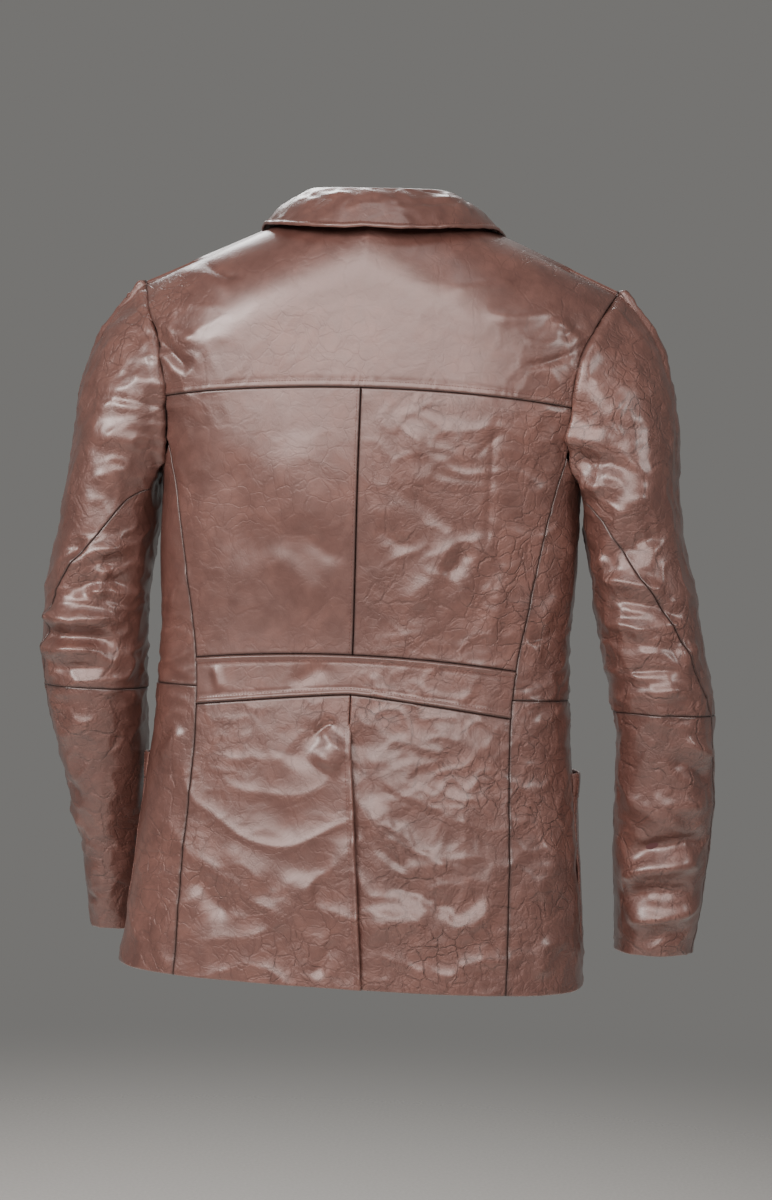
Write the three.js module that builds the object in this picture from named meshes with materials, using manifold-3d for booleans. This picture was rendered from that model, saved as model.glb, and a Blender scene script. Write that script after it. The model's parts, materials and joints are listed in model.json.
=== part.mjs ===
// A leather blazer hanging open on its shoulders, as the separate panels it is sewn from.
// Millimetres, +Z up. The front faces -Y and the wearer's left is +X. The origin is the middle of the
// neck hole at the height of the shoulder seams, where a hanger or a neck carries the coat.
//
// The body is one smooth closed form. Layers of the coat are shells cut from that form at a stated depth,
// and panels are cut from a shell along the seam lines, so neighbours always follow the same surface.
import * as THREE from "three";
import { mergeVertices } from "three/addons/utils/BufferGeometryUtils.js";
import Module from "manifold-3d";

const wasm = await Module();
wasm.setup();

// ---------------------------------------------------------------- driving dimensions
const leather = 1.6; // garment leather with its seam allowance
const lining = 0.8; // lining cloth
const layerGap = 0.4; // air between one layer and the next
const seamGap = 0.5; // air between two panels at a seam
const padThick = 5; // shoulder pad
const hemLevel = -748; // lowest edge of the body
const armpitLevel = -253; // bottom of the armhole
const armholeTop = -62; // shoulder tip
const shoulderHalf = 240; // centre to shoulder tip
const neckHalf = 78; // half width of the neck hole
const neckDrop = -12; // back neck seam at the centre
const shoulderSlope = 0.46; // fall of the shoulder seam per mm of width
const shoulderRound = 110; // height over which a shoulder rounds over
const squareness = 2.6; // exponent of the body's cross-section, 2 is an ellipse
const yokeLevel = -176; // yoke seam at the centre
const yokeHalf = shoulderHalf - 40; // half width of the yoke seam
const beltTop = -431; // half belt at the centre
const beltWidth = 38;
const beltHalf = shoulderHalf - 85; // half length of the belt
const sideWaist = -468; // waist seam of the side panels
const ventTop = -500; // the vent opens below this
const ventOverlap = 30; // how far the under flap reaches past the centre
const frontGap = 9; // centre to the front edge, the coat hangs unbuttoned
const breakLevel = -338; // where the lapel starts to turn back
const lapelReach = 116; // centre to the lapel's point
const pocketTop = -540;
const pocketDepth = 172;
const pocketFront = 122; // centre to the pocket's front edge
const pocketBack = 6; // how far the pocket runs behind the side line
const pocketRoom = 12; // space for a hand at the middle of the mouth
const pocketRim = 5; // width of the sewn edge
const elbowLevel = -476; // elbow seam
const elbowTurn = 65; // degrees that the forearm can bend
const buttonRadius = 11;
const buttonHeight = 4.4;
const cornerTop = -364; // each front swings open below this
const fold = { vent: 90, corner: 125 }; // where the two swinging corners' fold lines meet the hem
const loopWidth = 6;

// Half width, depth behind and depth in front of the shoulder line, at levels down the body.
const bodyLevels = [
  { z: 60, half: shoulderHalf - 2, back: 100, front: 96 },
  { z: -150, half: shoulderHalf - 3, back: 100, front: 97 },
  { z: -252, half: shoulderHalf - 30, back: 98, front: 95 },
  { z: -340, half: shoulderHalf - 31, back: 90, front: 88 },
  { z: -430, half: shoulderHalf - 36, back: 83, front: 80 },
  { z: -520, half: shoulderHalf - 31, back: 87, front: 83 },
  { z: -620, half: shoulderHalf - 21, back: 95, front: 89 },
  { z: hemLevel, half: shoulderHalf - 9, back: 102, front: 94 },
  { z: hemLevel - 60, half: shoulderHalf - 6, back: 104, front: 95 },
];

// Middle and half widths of each sleeve at levels below its cap: x is across, y is front to back.
const sleeveLevels = {
  left: [
    { z: -300, x: shoulderHalf + 23, wx: 48, y: -2, wy: 67 },
    { z: -390, x: shoulderHalf + 35, wx: 51, y: 2, wy: 61 },
    { z: elbowLevel, x: shoulderHalf + 32, wx: 49, y: 0, wy: 57 },
    { z: -560, x: shoulderHalf + 26, wx: 40, y: -26, wy: 57 },
    { z: -640, x: shoulderHalf + 20, wx: 33, y: -62, wy: 57 },
    { z: -728, x: shoulderHalf + 17, wx: 28, y: -84, wy: 54 },
  ],
  right: [
    { z: -300, x: shoulderHalf + 22, wx: 48, y: -2, wy: 67 },
    { z: -390, x: shoulderHalf + 42, wx: 50, y: 2, wy: 60 },
    { z: elbowLevel, x: shoulderHalf + 59, wx: 48, y: 0, wy: 56 },
    { z: -560, x: shoulderHalf + 63, wx: 48, y: -16, wy: 52 },
    { z: -640, x: shoulderHalf + 63, wx: 46, y: -38, wy: 50 },
    { z: -718, x: shoulderHalf + 58, wx: 38, y: -58, wy: 48 },
  ],
};

// ---------------------------------------------------------------- curves
// A smooth function through rows of { z, ... } for one of their fields, for falling z.
function profile(rows, field) {
  const slope = (i) => {
    const a = rows[Math.max(i - 1, 0)];
    const b = rows[Math.min(i + 1, rows.length - 1)];
    return (b[field] - a[field]) / (b.z - a.z);
  };
  return (z) => {
    let i = 0;
    while (i < rows.length - 2 && z < rows[i + 1].z) i++;
    const [a, b] = [rows[i], rows[i + 1]];
    const step = b.z - a.z;
    const t = Math.min(1, Math.max(0, (z - a.z) / step));
    const [t2, t3] = [t * t, t * t * t];
    return (
      a[field] * (2 * t3 - 3 * t2 + 1) +
      b[field] * (3 * t2 - 2 * t3) +
      slope(i) * step * (t3 - 2 * t2 + t) +
      slope(i + 1) * step * (t3 - t2)
    );
  };
}

// A seam line through [x, z] points, as about n points.
const seam = (points, n = 14) =>
  new THREE.SplineCurve(points.map(([x, z]) => new THREE.Vector2(x, z)))
    .getPoints(n)
    .map((p) => [p.x, p.y]);

// A line moved sideways, by dx and dz.
const moved = (line, dx, dz = 0) => line.map(([x, z]) => [x + dx, z + dz]);
const mirrored = (line) => line.map(([x, z]) => [-x, z]);
const backward = (line) => [...line].reverse();

// ---------------------------------------------------------------- the body's form
const half = profile(bodyLevels, "half");
const depthBack = profile(bodyLevels, "back");
const depthFront = profile(bodyLevels, "front");
const ridgeTop = neckHalf * shoulderSlope + 4;
const ridge = (x) => ridgeTop - shoulderSlope * Math.abs(x);
const squared = (c) => Math.sign(c) * Math.pow(Math.abs(c), 2 / squareness);

// Distance from the shoulder line's plane to the surface at x, z, for a layer that lies deep mm inside.
function bodyDepth(x, z, back, deep = 0) {
  const across = Math.min(1, Math.abs(x) / (half(z) - deep));
  const wide = Math.pow(1 - Math.pow(across, squareness), 1 / squareness);
  const fall = (ridge(x) - deep * 1.1 - z) / shoulderRound;
  const round = fall >= 1 ? 1 : Math.sqrt(Math.max(0, 1 - (1 - fall) ** 2));
  return ((back ? depthBack : depthFront)(z) - deep) * wide * round;
}

// The closed form of the body, taken in by deep mm. Every form has its points at the same places round the
// body, so layers stay apart. One that is cut away from another runs past the hem.
function bodyForm(deep, past = 0) {
  const columns = 36;
  const rows = past > 0 ? 17 : 16;
  const points = [];
  for (let r = 0; r <= rows; r++) {
    const down = Math.pow(Math.min(1, r / 16), 1.5);
    for (let c = 0; c < columns; c++) {
      const angle = (2 * Math.PI * c) / columns;
      const topX = (half(0) - deep) * squared(Math.cos(angle));
      const z = (ridge(topX) - deep * 1.1) * (1 - down) + hemLevel * down - (r > 16 ? past : 0);
      const x = (half(z) - deep) * squared(Math.cos(angle));
      const back = c <= columns / 2;
      const y = r === 0 ? 0 : bodyDepthAtAngle(angle, x, z, back, deep);
      points.push(x, back ? y : -y, z);
    }
  }
  const hub = points.length / 3;
  points.push(0, 0, hemLevel - past);
  const faces = [];
  for (let c = 0; c < columns; c++) {
    const next = (c + 1) % columns;
    for (let r = 0; r < rows; r++) {
      const [a, b] = [r * columns + c, r * columns + next];
      const [d, e] = [a + columns, b + columns];
      faces.push(a, d, e, a, e, b);
    }
    faces.push(hub, rows * columns + next, rows * columns + c);
  }
  return solid(geometryOf(points, faces));
}

function bodyDepthAtAngle(angle, x, z, back, deep) {
  const wide = Math.pow(Math.abs(Math.sin(angle)), 2 / squareness);
  const fall = (ridge(x) - deep * 1.1 - z) / shoulderRound;
  const round = fall >= 1 ? 1 : Math.sqrt(Math.max(0, 1 - (1 - fall) ** 2));
  return ((back ? depthBack : depthFront)(z) - deep) * wide * round;
}

// ---------------------------------------------------------------- solids
function geometryOf(points, faces) {
  const geometry = new THREE.BufferGeometry();
  geometry.setAttribute("position", new THREE.Float32BufferAttribute(points, 3));
  geometry.setIndex(faces);
  return geometry;
}

function solid(geometry) {
  const bare = geometry.clone();
  bare.deleteAttribute("normal");
  bare.deleteAttribute("uv");
  const merged = mergeVertices(bare, 1e-3);
  return new wasm.Manifold(
    new wasm.Mesh({
      numProp: 3,
      vertProperties: new Float32Array(merged.attributes.position.array),
      triVerts: new Uint32Array(merged.index.array),
    }),
  );
}

function geometryFrom(made) {
  const mesh = made.getMesh();
  return geometryOf(Array.from(mesh.vertProperties), Array.from(mesh.triVerts));
}

// A prism on an outline of [x, z] points, between two depths in y.
function prismY(outline, from, to) {
  const shape = new THREE.Shape(outline.map(([x, z]) => new THREE.Vector2(x, z)));
  const geometry = new THREE.ExtrudeGeometry(shape, { depth: to - from, bevelEnabled: false });
  return solid(geometry.rotateX(Math.PI / 2).translate(0, to, 0));
}

// A prism on an outline of [y, z] points, between two places in x.
function prismX(outline, from, to) {
  const shape = new THREE.Shape(outline.map(([y, z]) => new THREE.Vector2(y, z)));
  const geometry = new THREE.ExtrudeGeometry(shape, { depth: to - from, bevelEnabled: false });
  geometry.applyMatrix4(new THREE.Matrix4().set(0, 0, 1, from, 1, 0, 0, 0, 0, 1, 0, 0, 0, 0, 0, 1));
  return solid(geometry);
}

const room = 320; // further than any part of the body
const onBack = (outline) => prismY(outline, seamGap / 2, room);
const onFront = (outline) => prismY(outline, -room, -seamGap / 2);

// The shell of the body between two depths inside its outer surface; a depth under 0 lies outside it.
const shells = new Map();
function shell(from, to) {
  const key = [from, to].join();
  if (!shells.has(key)) shells.set(key, bodyForm(from).subtract(bodyForm(to, 30)));
  return shells.get(key);
}

// A closed sheet between two surfaces given as functions of u and v, both 0 to 1.
function sheet(outer, inner, across, along) {
  const points = [];
  for (const side of [outer, inner])
    for (let r = 0; r <= along; r++)
      for (let c = 0; c <= across; c++) points.push(...side(c / across, r / along));
  const width = across + 1;
  const offset = width * (along + 1);
  const faces = [];
  for (let r = 0; r < along; r++)
    for (let c = 0; c < across; c++) {
      const [a, b] = [r * width + c, r * width + c + 1];
      const [d, e] = [a + width, b + width];
      faces.push(a, d, e, a, e, b);
      faces.push(offset + a, offset + e, offset + d, offset + a, offset + b, offset + e);
    }
  const wall = (a, b) => faces.push(a, b, offset + b, a, offset + b, offset + a);
  for (let c = 0; c < across; c++) {
    wall(c, c + 1);
    wall(along * width + c + 1, along * width + c);
  }
  for (let r = 0; r < along; r++) {
    wall((r + 1) * width, r * width);
    wall(r * width + across, (r + 1) * width + across);
  }
  const made = solid(geometryOf(points, faces));
  return made.volume() < 0 ? solid(geometryOf(points, backward(faces))) : made;
}

// ---------------------------------------------------------------- seam lines, for the wearer's left
const g = seamGap / 2;
const centre = (from, to) => [[g, from], [g, to]];
// Points whose x is counted in from the shoulder tip.
const inset = (points) => points.map(([x, z]) => [shoulderHalf - x, z]);
const armhole = seam(
  inset([
    [-6, armholeTop + 12],
    [0, armholeTop],
    [16, -94],
    [31, -130],
    [40, -170],
    [43, -212],
    [40, -240],
    [28, armpitLevel],
    [-20, armpitLevel - 4],
  ]),
  24,
);
const princess = seam(
  inset([
    [43, -226],
    [52, -262],
    [60, -300],
    [72, -370],
    [83, -435],
    [86.5, -490],
    [85, -560],
    [81, -640],
    [79, hemLevel - 20],
  ]),
  16,
);
const frontSeam = seam(
  inset([
    [43, -226],
    [49, -300],
    [54, -400],
    [56, -500],
    [54, -620],
    [50, hemLevel - 20],
  ]),
  10,
);
const yokeSeam = (x) => yokeLevel - 10 * (x / yokeHalf) ** 2;
const beltEdge = (x) => beltTop - 9 * (x / beltHalf) ** 2;
const beltFoot = (x) => beltTop - beltWidth - 17 * Math.abs(x / beltHalf) ** 1.2;
const neckBack = (x) => neckDrop + (ridge(neckHalf) - neckDrop) * Math.pow(Math.abs(x) / neckHalf, 2.2);
const rollLine = [
  [neckHalf - 14, -46],
  [frontGap, breakLevel],
];

const spaced = (from, to, n) => Array.from({ length: n + 1 }, (_, i) => from + ((to - from) * i) / n);
const traced = (level, from, to, n = 8) => spaced(from, to, n).map((x) => [x, level(x)]);
// Where a seam line crosses a level.
function crossing(line, z) {
  const i = Math.max(1, line.findIndex((p) => p[1] <= z));
  const [a, b] = [line[i - 1], line[i]];
  return a[0] + ((b[0] - a[0]) * (z - a[1])) / (b[1] - a[1] || -1e-6);
}
const beltTopEnd = crossing(princess, beltEdge(beltHalf));
const beltFootEnd = crossing(princess, beltFoot(beltHalf - 2));
const above = (line, z) => line.filter((p) => p[1] > z);
const below = (line, z) => line.filter((p) => p[1] < z);

// ---------------------------------------------------------------- the object
const jacket = new THREE.Group();
jacket.name = "leather_jacket";

const looks = {
  shell: new THREE.MeshStandardMaterial({ color: 0x7a524c, roughness: 0.38, metalness: 0 }),
  facing: new THREE.MeshStandardMaterial({ color: 0x6c4640, roughness: 0.45, metalness: 0 }),
  lining: new THREE.MeshStandardMaterial({ color: 0x4a2a2c, roughness: 0.55, metalness: 0 }),
  button: new THREE.MeshStandardMaterial({ color: 0x2c1a16, roughness: 0.3, metalness: 0 }),
};

function add(name, made, look) {
  const mesh = new THREE.Mesh(geometryFrom(made), looks[look]);
  mesh.name = name;
  jacket.add(mesh);
}

const sides = [
  ["left", 1, (line) => line],
  ["right", -1, mirrored],
];
const outerLeather = shell(0, leather);
const liningDepth = leather + layerGap;
const facingLayer = shell(liningDepth, liningDepth + leather);
const facingChest = shoulderHalf - 113; // centre to the facing's edge at the chest
const liningLayer = shell(liningDepth, liningDepth + lining);

// ---------------------------------------------------------------- back
function addYoke() {
  const edge = above(armhole, yokeSeam(yokeHalf) + g);
  const foot = traced((x) => yokeSeam(x) + g, -yokeHalf, yokeHalf, 16);
  const top = traced(neckBack, -neckHalf, neckHalf, 16);
  const outline = [
    ...foot,
    ...backward(moved(edge, -g)),
    [shoulderHalf - 10, 60],
    [neckHalf, 60],
    ...backward(top),
    [-neckHalf, 60],
    [-shoulderHalf + 10, 60],
    ...mirrored(moved(edge, -g)),
  ];
  add("back_yoke", outerLeather.intersect(onBack(outline)), "shell");
}

function addUpperBack(side, mirror) {
  const start = princess[0][1];
  const edge = armhole.filter((p) => p[1] < yokeSeam(yokeHalf) - g && p[1] > start + 1);
  const outline = mirror([
    ...traced((x) => yokeSeam(x) - g, g, yokeHalf - g),
    ...moved(edge, -g),
    ...moved(above(princess, beltEdge(beltTopEnd) + g), -g),
    ...backward(traced((x) => beltEdge(x) + g, g, beltTopEnd - g)),
  ]);
  add("upper_back_" + side, outerLeather.intersect(onBack(outline)), "shell");
}

function addBelt() {
  const edge = princess.filter((p) => p[1] < beltEdge(beltTopEnd) - g && p[1] > beltFoot(beltFootEnd) + g);
  const outline = [
    ...traced((x) => beltEdge(x) - g, -beltTopEnd + g, beltTopEnd - g, 14),
    ...moved(edge, -g),
    ...backward(traced((x) => beltFoot(x) + g, -beltFootEnd + g, beltFootEnd - g, 14)),
    ...backward(mirrored(moved(edge, -g))),
  ];
  add("back_belt", outerLeather.intersect(onBack(outline)), "shell");
}

// The left half laps over the right below the vent's top; its free edge runs down past the centre.
const ventEdge = (past, top = ventTop) => [
  [past - 25, hemLevel - 20],
  [past - 3, top],
];

function skirtOutline(edgeOfVent) {
  const edge = below(princess, beltFoot(beltFootEnd) - g);
  const top = traced((x) => beltFoot(x) - g, g, beltFootEnd - g);
  return [...top, ...moved(edge, -g), ...edgeOfVent, [g, edgeOfVent[1][1]]];
}

// The left half's corner beside the vent lifts, so it is cut off along its fold line.
const ventCorner = (gap) => [
  [-60, ventTop + gap],
  [g + gap, ventTop + gap],
  [fold.vent + gap, hemLevel - 20],
  [-60, hemLevel - 20],
];

function addSkirts() {
  const left = outerLeather.intersect(onBack(skirtOutline(ventEdge(0, ventTop - seamGap))));
  add("back_skirt_left", left.subtract(onBack(ventCorner(seamGap))), "shell");
  add("back_vent_flap", left.intersect(onBack(ventCorner(0))), "shell");
  const right = outerLeather.intersect(onBack(mirrored(skirtOutline(mirrored(ventEdge(-seamGap))))));
  const strip = [...ventEdge(-14), ...backward(ventEdge(-1))];
  const step = shell(leather / 2, 2 * leather + layerGap).intersect(onBack(strip));
  const lap = [...ventEdge(-14), [ventOverlap, ventTop], [ventOverlap, hemLevel - 20]];
  const flap = shell(leather + layerGap, 2 * leather + layerGap).intersect(onBack(lap));
  add("back_skirt_right", right.add(step).add(flap), "shell");
}

// ---------------------------------------------------------------- sides and fronts
const onBackFull = (outline) => prismY(outline, 0, room);
const onFrontFull = (outline) => prismY(outline, -room, 0);
const box = (left, right, top, foot) => [
  [left, top],
  [right, top],
  [right, foot],
  [left, foot],
];

function addSidePanels(side, mirror) {
  const block = (top, foot) => prismY(mirror(box(shoulderHalf - 120, room, top, foot)), -room, room);
  const inner = (line) => {
    const edge = moved([[line[0][0], -190], ...line], g);
    return mirror([...edge, [60, hemLevel - 30], [60, -190]]);
  };
  const panels = {
    side_panel_upper: block(armpitLevel + 40, sideWaist + g),
    side_panel_lower: block(sideWaist - g, hemLevel - 20),
  };
  const keepOut = onBackFull(inner(princess)).add(onFrontFull(inner(frontSeam)));
  const sleeveSide = [...moved(armhole, 0, -g), [400, armpitLevel - 4], [400, 60]];
  const hole = prismY(mirror(sleeveSide), -room, room);
  for (const [name, region] of Object.entries(panels))
    add(name + "_" + side, outerLeather.intersect(region.subtract(keepOut)).subtract(hole), "shell");
}

// The rounded corner at the foot of a front, for an edge this far from the centre and this high.
const roundedFoot = (edge, up) =>
  seam(
    [
      [edge, hemLevel + 40],
      [edge + 8, hemLevel + 12 + up / 2],
      [frontGap + 36, hemLevel + up],
    ],
    6,
  );

// The front from the roll line and front edge back to the front seam.
function frontOutline() {
  const start = frontSeam[0][1];
  const edge = armhole.filter((p) => p[1] > start + 1);
  return [
    ...rollLine,
    [frontGap, hemLevel + 42],
    ...roundedFoot(frontGap, 0),
    [120, hemLevel - 10],
    ...backward(moved(frontSeam, -g)),
    ...backward(moved(edge, -g)),
    [shoulderHalf - 10, 60],
    [neckHalf, 60],
    [neckHalf, ridge(neckHalf) - 1],
    [neckHalf - 3, -22],
  ];
}

const cornerFold = (gap) => [
  [-60, cornerTop - gap],
  [frontGap - gap, cornerTop - gap],
  [fold.corner - gap, hemLevel - 20],
  [-60, hemLevel - 20],
];

function addFront(side, mirror) {
  const whole = outerLeather.intersect(onFront(mirror(frontOutline())));
  add("front_" + side, whole.subtract(onFront(mirror(cornerFold(-seamGap)))), "shell");
  add("front_corner_" + side, whole.intersect(onFront(mirror(cornerFold(0)))), "shell");
}

function facingOutline(width) {
  return [
    ...moved(rollLine, 1.5),
    [frontGap + 1.5, hemLevel + 42],
    ...roundedFoot(frontGap + 1.5, 2),
    [width, hemLevel - 10],
    [width, -300],
    [facingChest, -120],
    [neckHalf + 18, 60],
    [neckHalf, 60],
    [neckHalf, ridge(neckHalf) - 1],
    [neckHalf - 3, -22],
  ];
}

function addFacings(side, mirror) {
  const strip = facingLayer.intersect(onFront(mirror(facingOutline(fold.corner + 8))));
  add("front_facing_" + side, strip.subtract(onFront(mirror(cornerFold(-seamGap)))), "facing");
  add("corner_facing_" + side, strip.intersect(onFront(mirror(cornerFold(0)))), "facing");
}

const lapelOutline = (gap) => [
  ...backward(moved(rollLine, gap)),
  [neckHalf + 20, -80],
  [lapelReach, -92],
  ...seam(
    [
      [lapelReach - 3, -104],
      [lapelReach - 12, -170],
      [62, -262],
      [frontGap + gap, breakLevel],
    ],
    10,
  ),
];

function addLapel(side, mirror) {
  const onTop = shell(-layerGap - leather * 1.5, -layerGap);
  add("lapel_" + side, onTop.intersect(onFront(mirror(lapelOutline(0.5)))), "shell");
}

// ---------------------------------------------------------------- pockets
// The region inside a pocket's edge, or this far inside it.
function pocketRegion(sign, rim) {
  const [top, foot] = [rim ? pocketTop + 40 : pocketTop, pocketTop - pocketDepth + rim];
  const corner = 26;
  // Down from the mouth at this place, round the lower corner and off to the far side.
  const edge = (at, inwards, turn, far) => [
    [far, top],
    [at, top],
    ...seam(
      [
        [at, foot + corner],
        [at + inwards * turn, foot + turn],
        [at + inwards * corner, foot],
      ],
      5,
    ),
    [far, foot],
  ];
  const across = edge(pocketFront + rim, 1, 7, 300);
  const deep = edge(pocketBack - rim, -1, 6, -200);
  const xRange = sign > 0 ? [0, 300] : [-300, 0];
  return prismY(sign > 0 ? across : mirrored(across), -room, room).intersect(prismX(deep, ...xRange));
}

// The solid from base mm off the body's face to a crowned face, which stands off by from mm at its sides
// and by pocketRoom more at the middle of the mouth.
function pocketPillow(from, base) {
  const [start, end] = [-0.32, Math.PI * 0.47];
  const [top, foot] = [pocketTop + 4, pocketTop - pocketDepth - 4];
  const face = (crown, off) => (u, v) => {
    const angle = start + (end - start) * u;
    const z = top + (foot - top) * v;
    const swell = Math.sin(Math.PI * u ** 1.5) * Math.cos((Math.PI / 2) * v) ** 0.7;
    const out = off + crown * (v > 0.999 ? 0 : swell);
    const depth = (angle > 0 ? depthFront : depthBack)(z) + out;
    return [(half(z) + out) * squared(Math.cos(angle)), -depth * squared(Math.sin(angle)), z];
  };
  return sheet(face(pocketRoom, from), face(0, base), 14, 7);
}

function addPocket(side, sign) {
  const flip = (made) => (sign > 0 ? made : made.scale([-1, 1, 1]));
  const outer = flip(pocketPillow(0.8 + leather, 0.7)).intersect(pocketRegion(sign, 0));
  const hollow = flip(pocketPillow(0.8, 0.1)).intersect(pocketRegion(sign, pocketRim));
  add("patch_pocket_" + side, outer.subtract(hollow), "shell");
}

// ---------------------------------------------------------------- lining and neck facing
const neckFacingFoot = (x) => -66 + 40 * (Math.abs(x) / neckHalf) ** 3;

function addNeckFacing() {
  const outline = [
    ...traced((x) => neckFacingFoot(x) + g, -neckHalf - 12, neckHalf + 12, 14),
    [neckHalf + 12, 60],
    [neckHalf, 60],
    ...backward(traced(neckBack, -neckHalf, neckHalf, 16)),
    [-neckHalf, 60],
    [-neckHalf - 12, 60],
  ];
  add("back_neck_facing", facingLayer.intersect(onBack(outline)), "facing");
}

const liningHem = hemLevel + 22;
// Where the back's lining meets the side's, at the armpit and at the hem.
const liningEdge = [shoulderHalf - 40, shoulderHalf - 37];

// The shoulder pad lies between the leather and the lining, on both sides of the shoulder seam.
const padOutline = (gap) => [
  [shoulderHalf - 90 + gap, 60],
  [shoulderHalf - 90 + gap, -40],
  [shoulderHalf - 72 + gap, -92 + gap],
  [shoulderHalf - 44, -112 + gap],
  [shoulderHalf + 22, -118 + gap],
  [shoulderHalf + 22, 60],
];
const padArea = (gap, mirror) => prismY(mirror(padOutline(gap)), -room, room);

// A lining sheet of the given outline, lowered under the shoulder pads.
function linedOver(region) {
  const low = liningDepth + padThick + layerGap;
  let made = liningLayer;
  for (const [, , mirror] of sides) {
    const area = padArea(0, mirror);
    const rim = padArea(-layerGap, mirror).subtract(padArea(lining, mirror));
    const sunk = shell(low, low + lining).intersect(area);
    const wall = shell(liningDepth + 0.1, low + lining - 0.1).intersect(rim);
    made = made.subtract(area).add(sunk).add(wall);
  }
  return made.intersect(region);
}

function addShoulderPad(side, mirror) {
  const body = prismY(mirror(armholeInside(g + 1)), -room, room);
  const area = padArea(lining + layerGap, mirror).intersect(body);
  add("shoulder_pad_" + side, shell(liningDepth, liningDepth + padThick).intersect(area), "lining");
}

// Everything on the body's side of the armhole seam, left short of it by a gap.
const armholeInside = (gap) => [
  ...moved(above(armhole, armpitLevel + 2), -gap),
  [60, armpitLevel],
  [60, 60],
  [shoulderHalf - 10, 60],
];

function addBackLining() {
  const edge = above(armhole, armpitLevel + 2);
  const vent = [
    [-46, ventTop + 10],
    [ventOverlap + 6, ventTop + 10],
    [ventOverlap + 6, hemLevel - 20],
    [-46, hemLevel - 20],
  ];
  const outline = [
    ...traced((x) => neckFacingFoot(x) - g, -neckHalf - 12 - seamGap, neckHalf + 12 + seamGap, 14),
    [neckHalf + 12 + seamGap, 60],
    [shoulderHalf - 10, 60],
    ...moved(edge, -g - 1),
    [liningEdge[0], armpitLevel],
    [liningEdge[1], liningHem],
    [-liningEdge[1], liningHem],
    [-liningEdge[0], armpitLevel],
    ...backward(mirrored(moved(edge, -g - 1))),
    [-shoulderHalf + 10, 60],
    [-neckHalf - 12 - seamGap, 60],
  ];
  add("back_lining", linedOver(onBack(outline).subtract(onBack(vent))), "lining");
}

function addFrontLining(side, mirror) {
  const edge = above(armhole, armpitLevel + 2);
  const inner = fold.corner + 8 + seamGap;
  const front = onFront(
    mirror([
      [inner, liningHem],
      [inner, -300],
      [facingChest + seamGap, -120],
      [neckHalf + 18 + seamGap, 60],
      [shoulderHalf - 10, 60],
      ...moved(edge, -g - 1),
      [shoulderHalf - 28, armpitLevel - 3],
      [room, armpitLevel - 6],
      [room, liningHem],
    ]),
  );
  const under = [
    [liningEdge[0] + seamGap, armpitLevel - 8],
    [room, armpitLevel - 8],
    [room, liningHem],
    [liningEdge[1] + seamGap, liningHem],
  ];
  add("side_lining_" + side, linedOver(front.add(prismY(mirror(under), -1, room))), "lining");
}

// ---------------------------------------------------------------- collar
// Points along the collar from the centre back (0) round to the front end (1), for the left half.
const along = (points) => {
  const curve = new THREE.CatmullRomCurve3(points.map((p) => new THREE.Vector3(...p)));
  return (t) => curve.getPoint(t);
};
const collarNeck = along([
  [0, 76, neckDrop + 4],
  [34, 66, -6],
  [62, 38, 4],
  [73, 0, 8],
  [71, -36, -8],
  [66, -72, -38],
]);
const collarFold = along([
  [0, 80, 18],
  [34, 70, 20],
  [66, 42, 24],
  [78, 0, 24],
  [77, -44, 6],
  [70, -88, -38],
]);
const collarEdge = along([
  [0, 108, -24],
  [42, 102, -24],
  [92, 66, -16],
  [121, 6, -8],
  [126, -52, -26],
  [114, -98, -58],
]);

// One side's point mirrored for the other half; s runs from the right end (0) to the left end (1).
const mirroredAlong = (curve) => (s) => {
  const p = curve(Math.abs(2 * s - 1));
  return new THREE.Vector3(Math.sign(2 * s - 1) * p.x, p.y, p.z);
};

function ruled(upper, lower, bulge) {
  const [a, b] = [mirroredAlong(upper), mirroredAlong(lower)];
  const point = (u, v) => {
    const p = a(u).lerp(b(u), v);
    const out = new THREE.Vector3(p.x, p.y, 0).normalize();
    return p.addScaledVector(out, bulge * Math.sin(Math.PI * v) * Math.sqrt(1 - v));
  };
  return (offset) => (u, v) => {
    const e = 1e-3;
    const du = point(Math.min(1, u + e), v).sub(point(Math.max(0, u - e), v));
    const dv = point(u, Math.min(1, v + e)).sub(point(u, Math.max(0, v - e)));
    return point(u, v).addScaledVector(du.cross(dv).normalize(), offset).toArray();
  };
}

function addCollar() {
  const fall = ruled(collarFold, collarEdge, 6);
  add("collar_fall", sheet(fall(leather), fall(0), 32, 4), "shell");
  const stand = ruled(collarFold, collarNeck, 0);
  add("collar_stand", sheet(stand(-layerGap), stand(-layerGap - leather), 32, 2), "shell");
}

function addHangingLoop() {
  const reach = 26;
  const bow = 11;
  const top = -30;
  const inside = bodyDepth(reach, top, true, liningDepth + leather + layerGap) - 1.5;
  const line = (offset) => (u, v) => {
    const x = reach * (2 * u - 1);
    return [x, inside - offset - bow * Math.sqrt(Math.max(0, 1 - (2 * u - 1) ** 2)), top - loopWidth * v];
  };
  add("hanging_loop", sheet(line(0), line(1.4), 14, 1), "facing");
}

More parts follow.
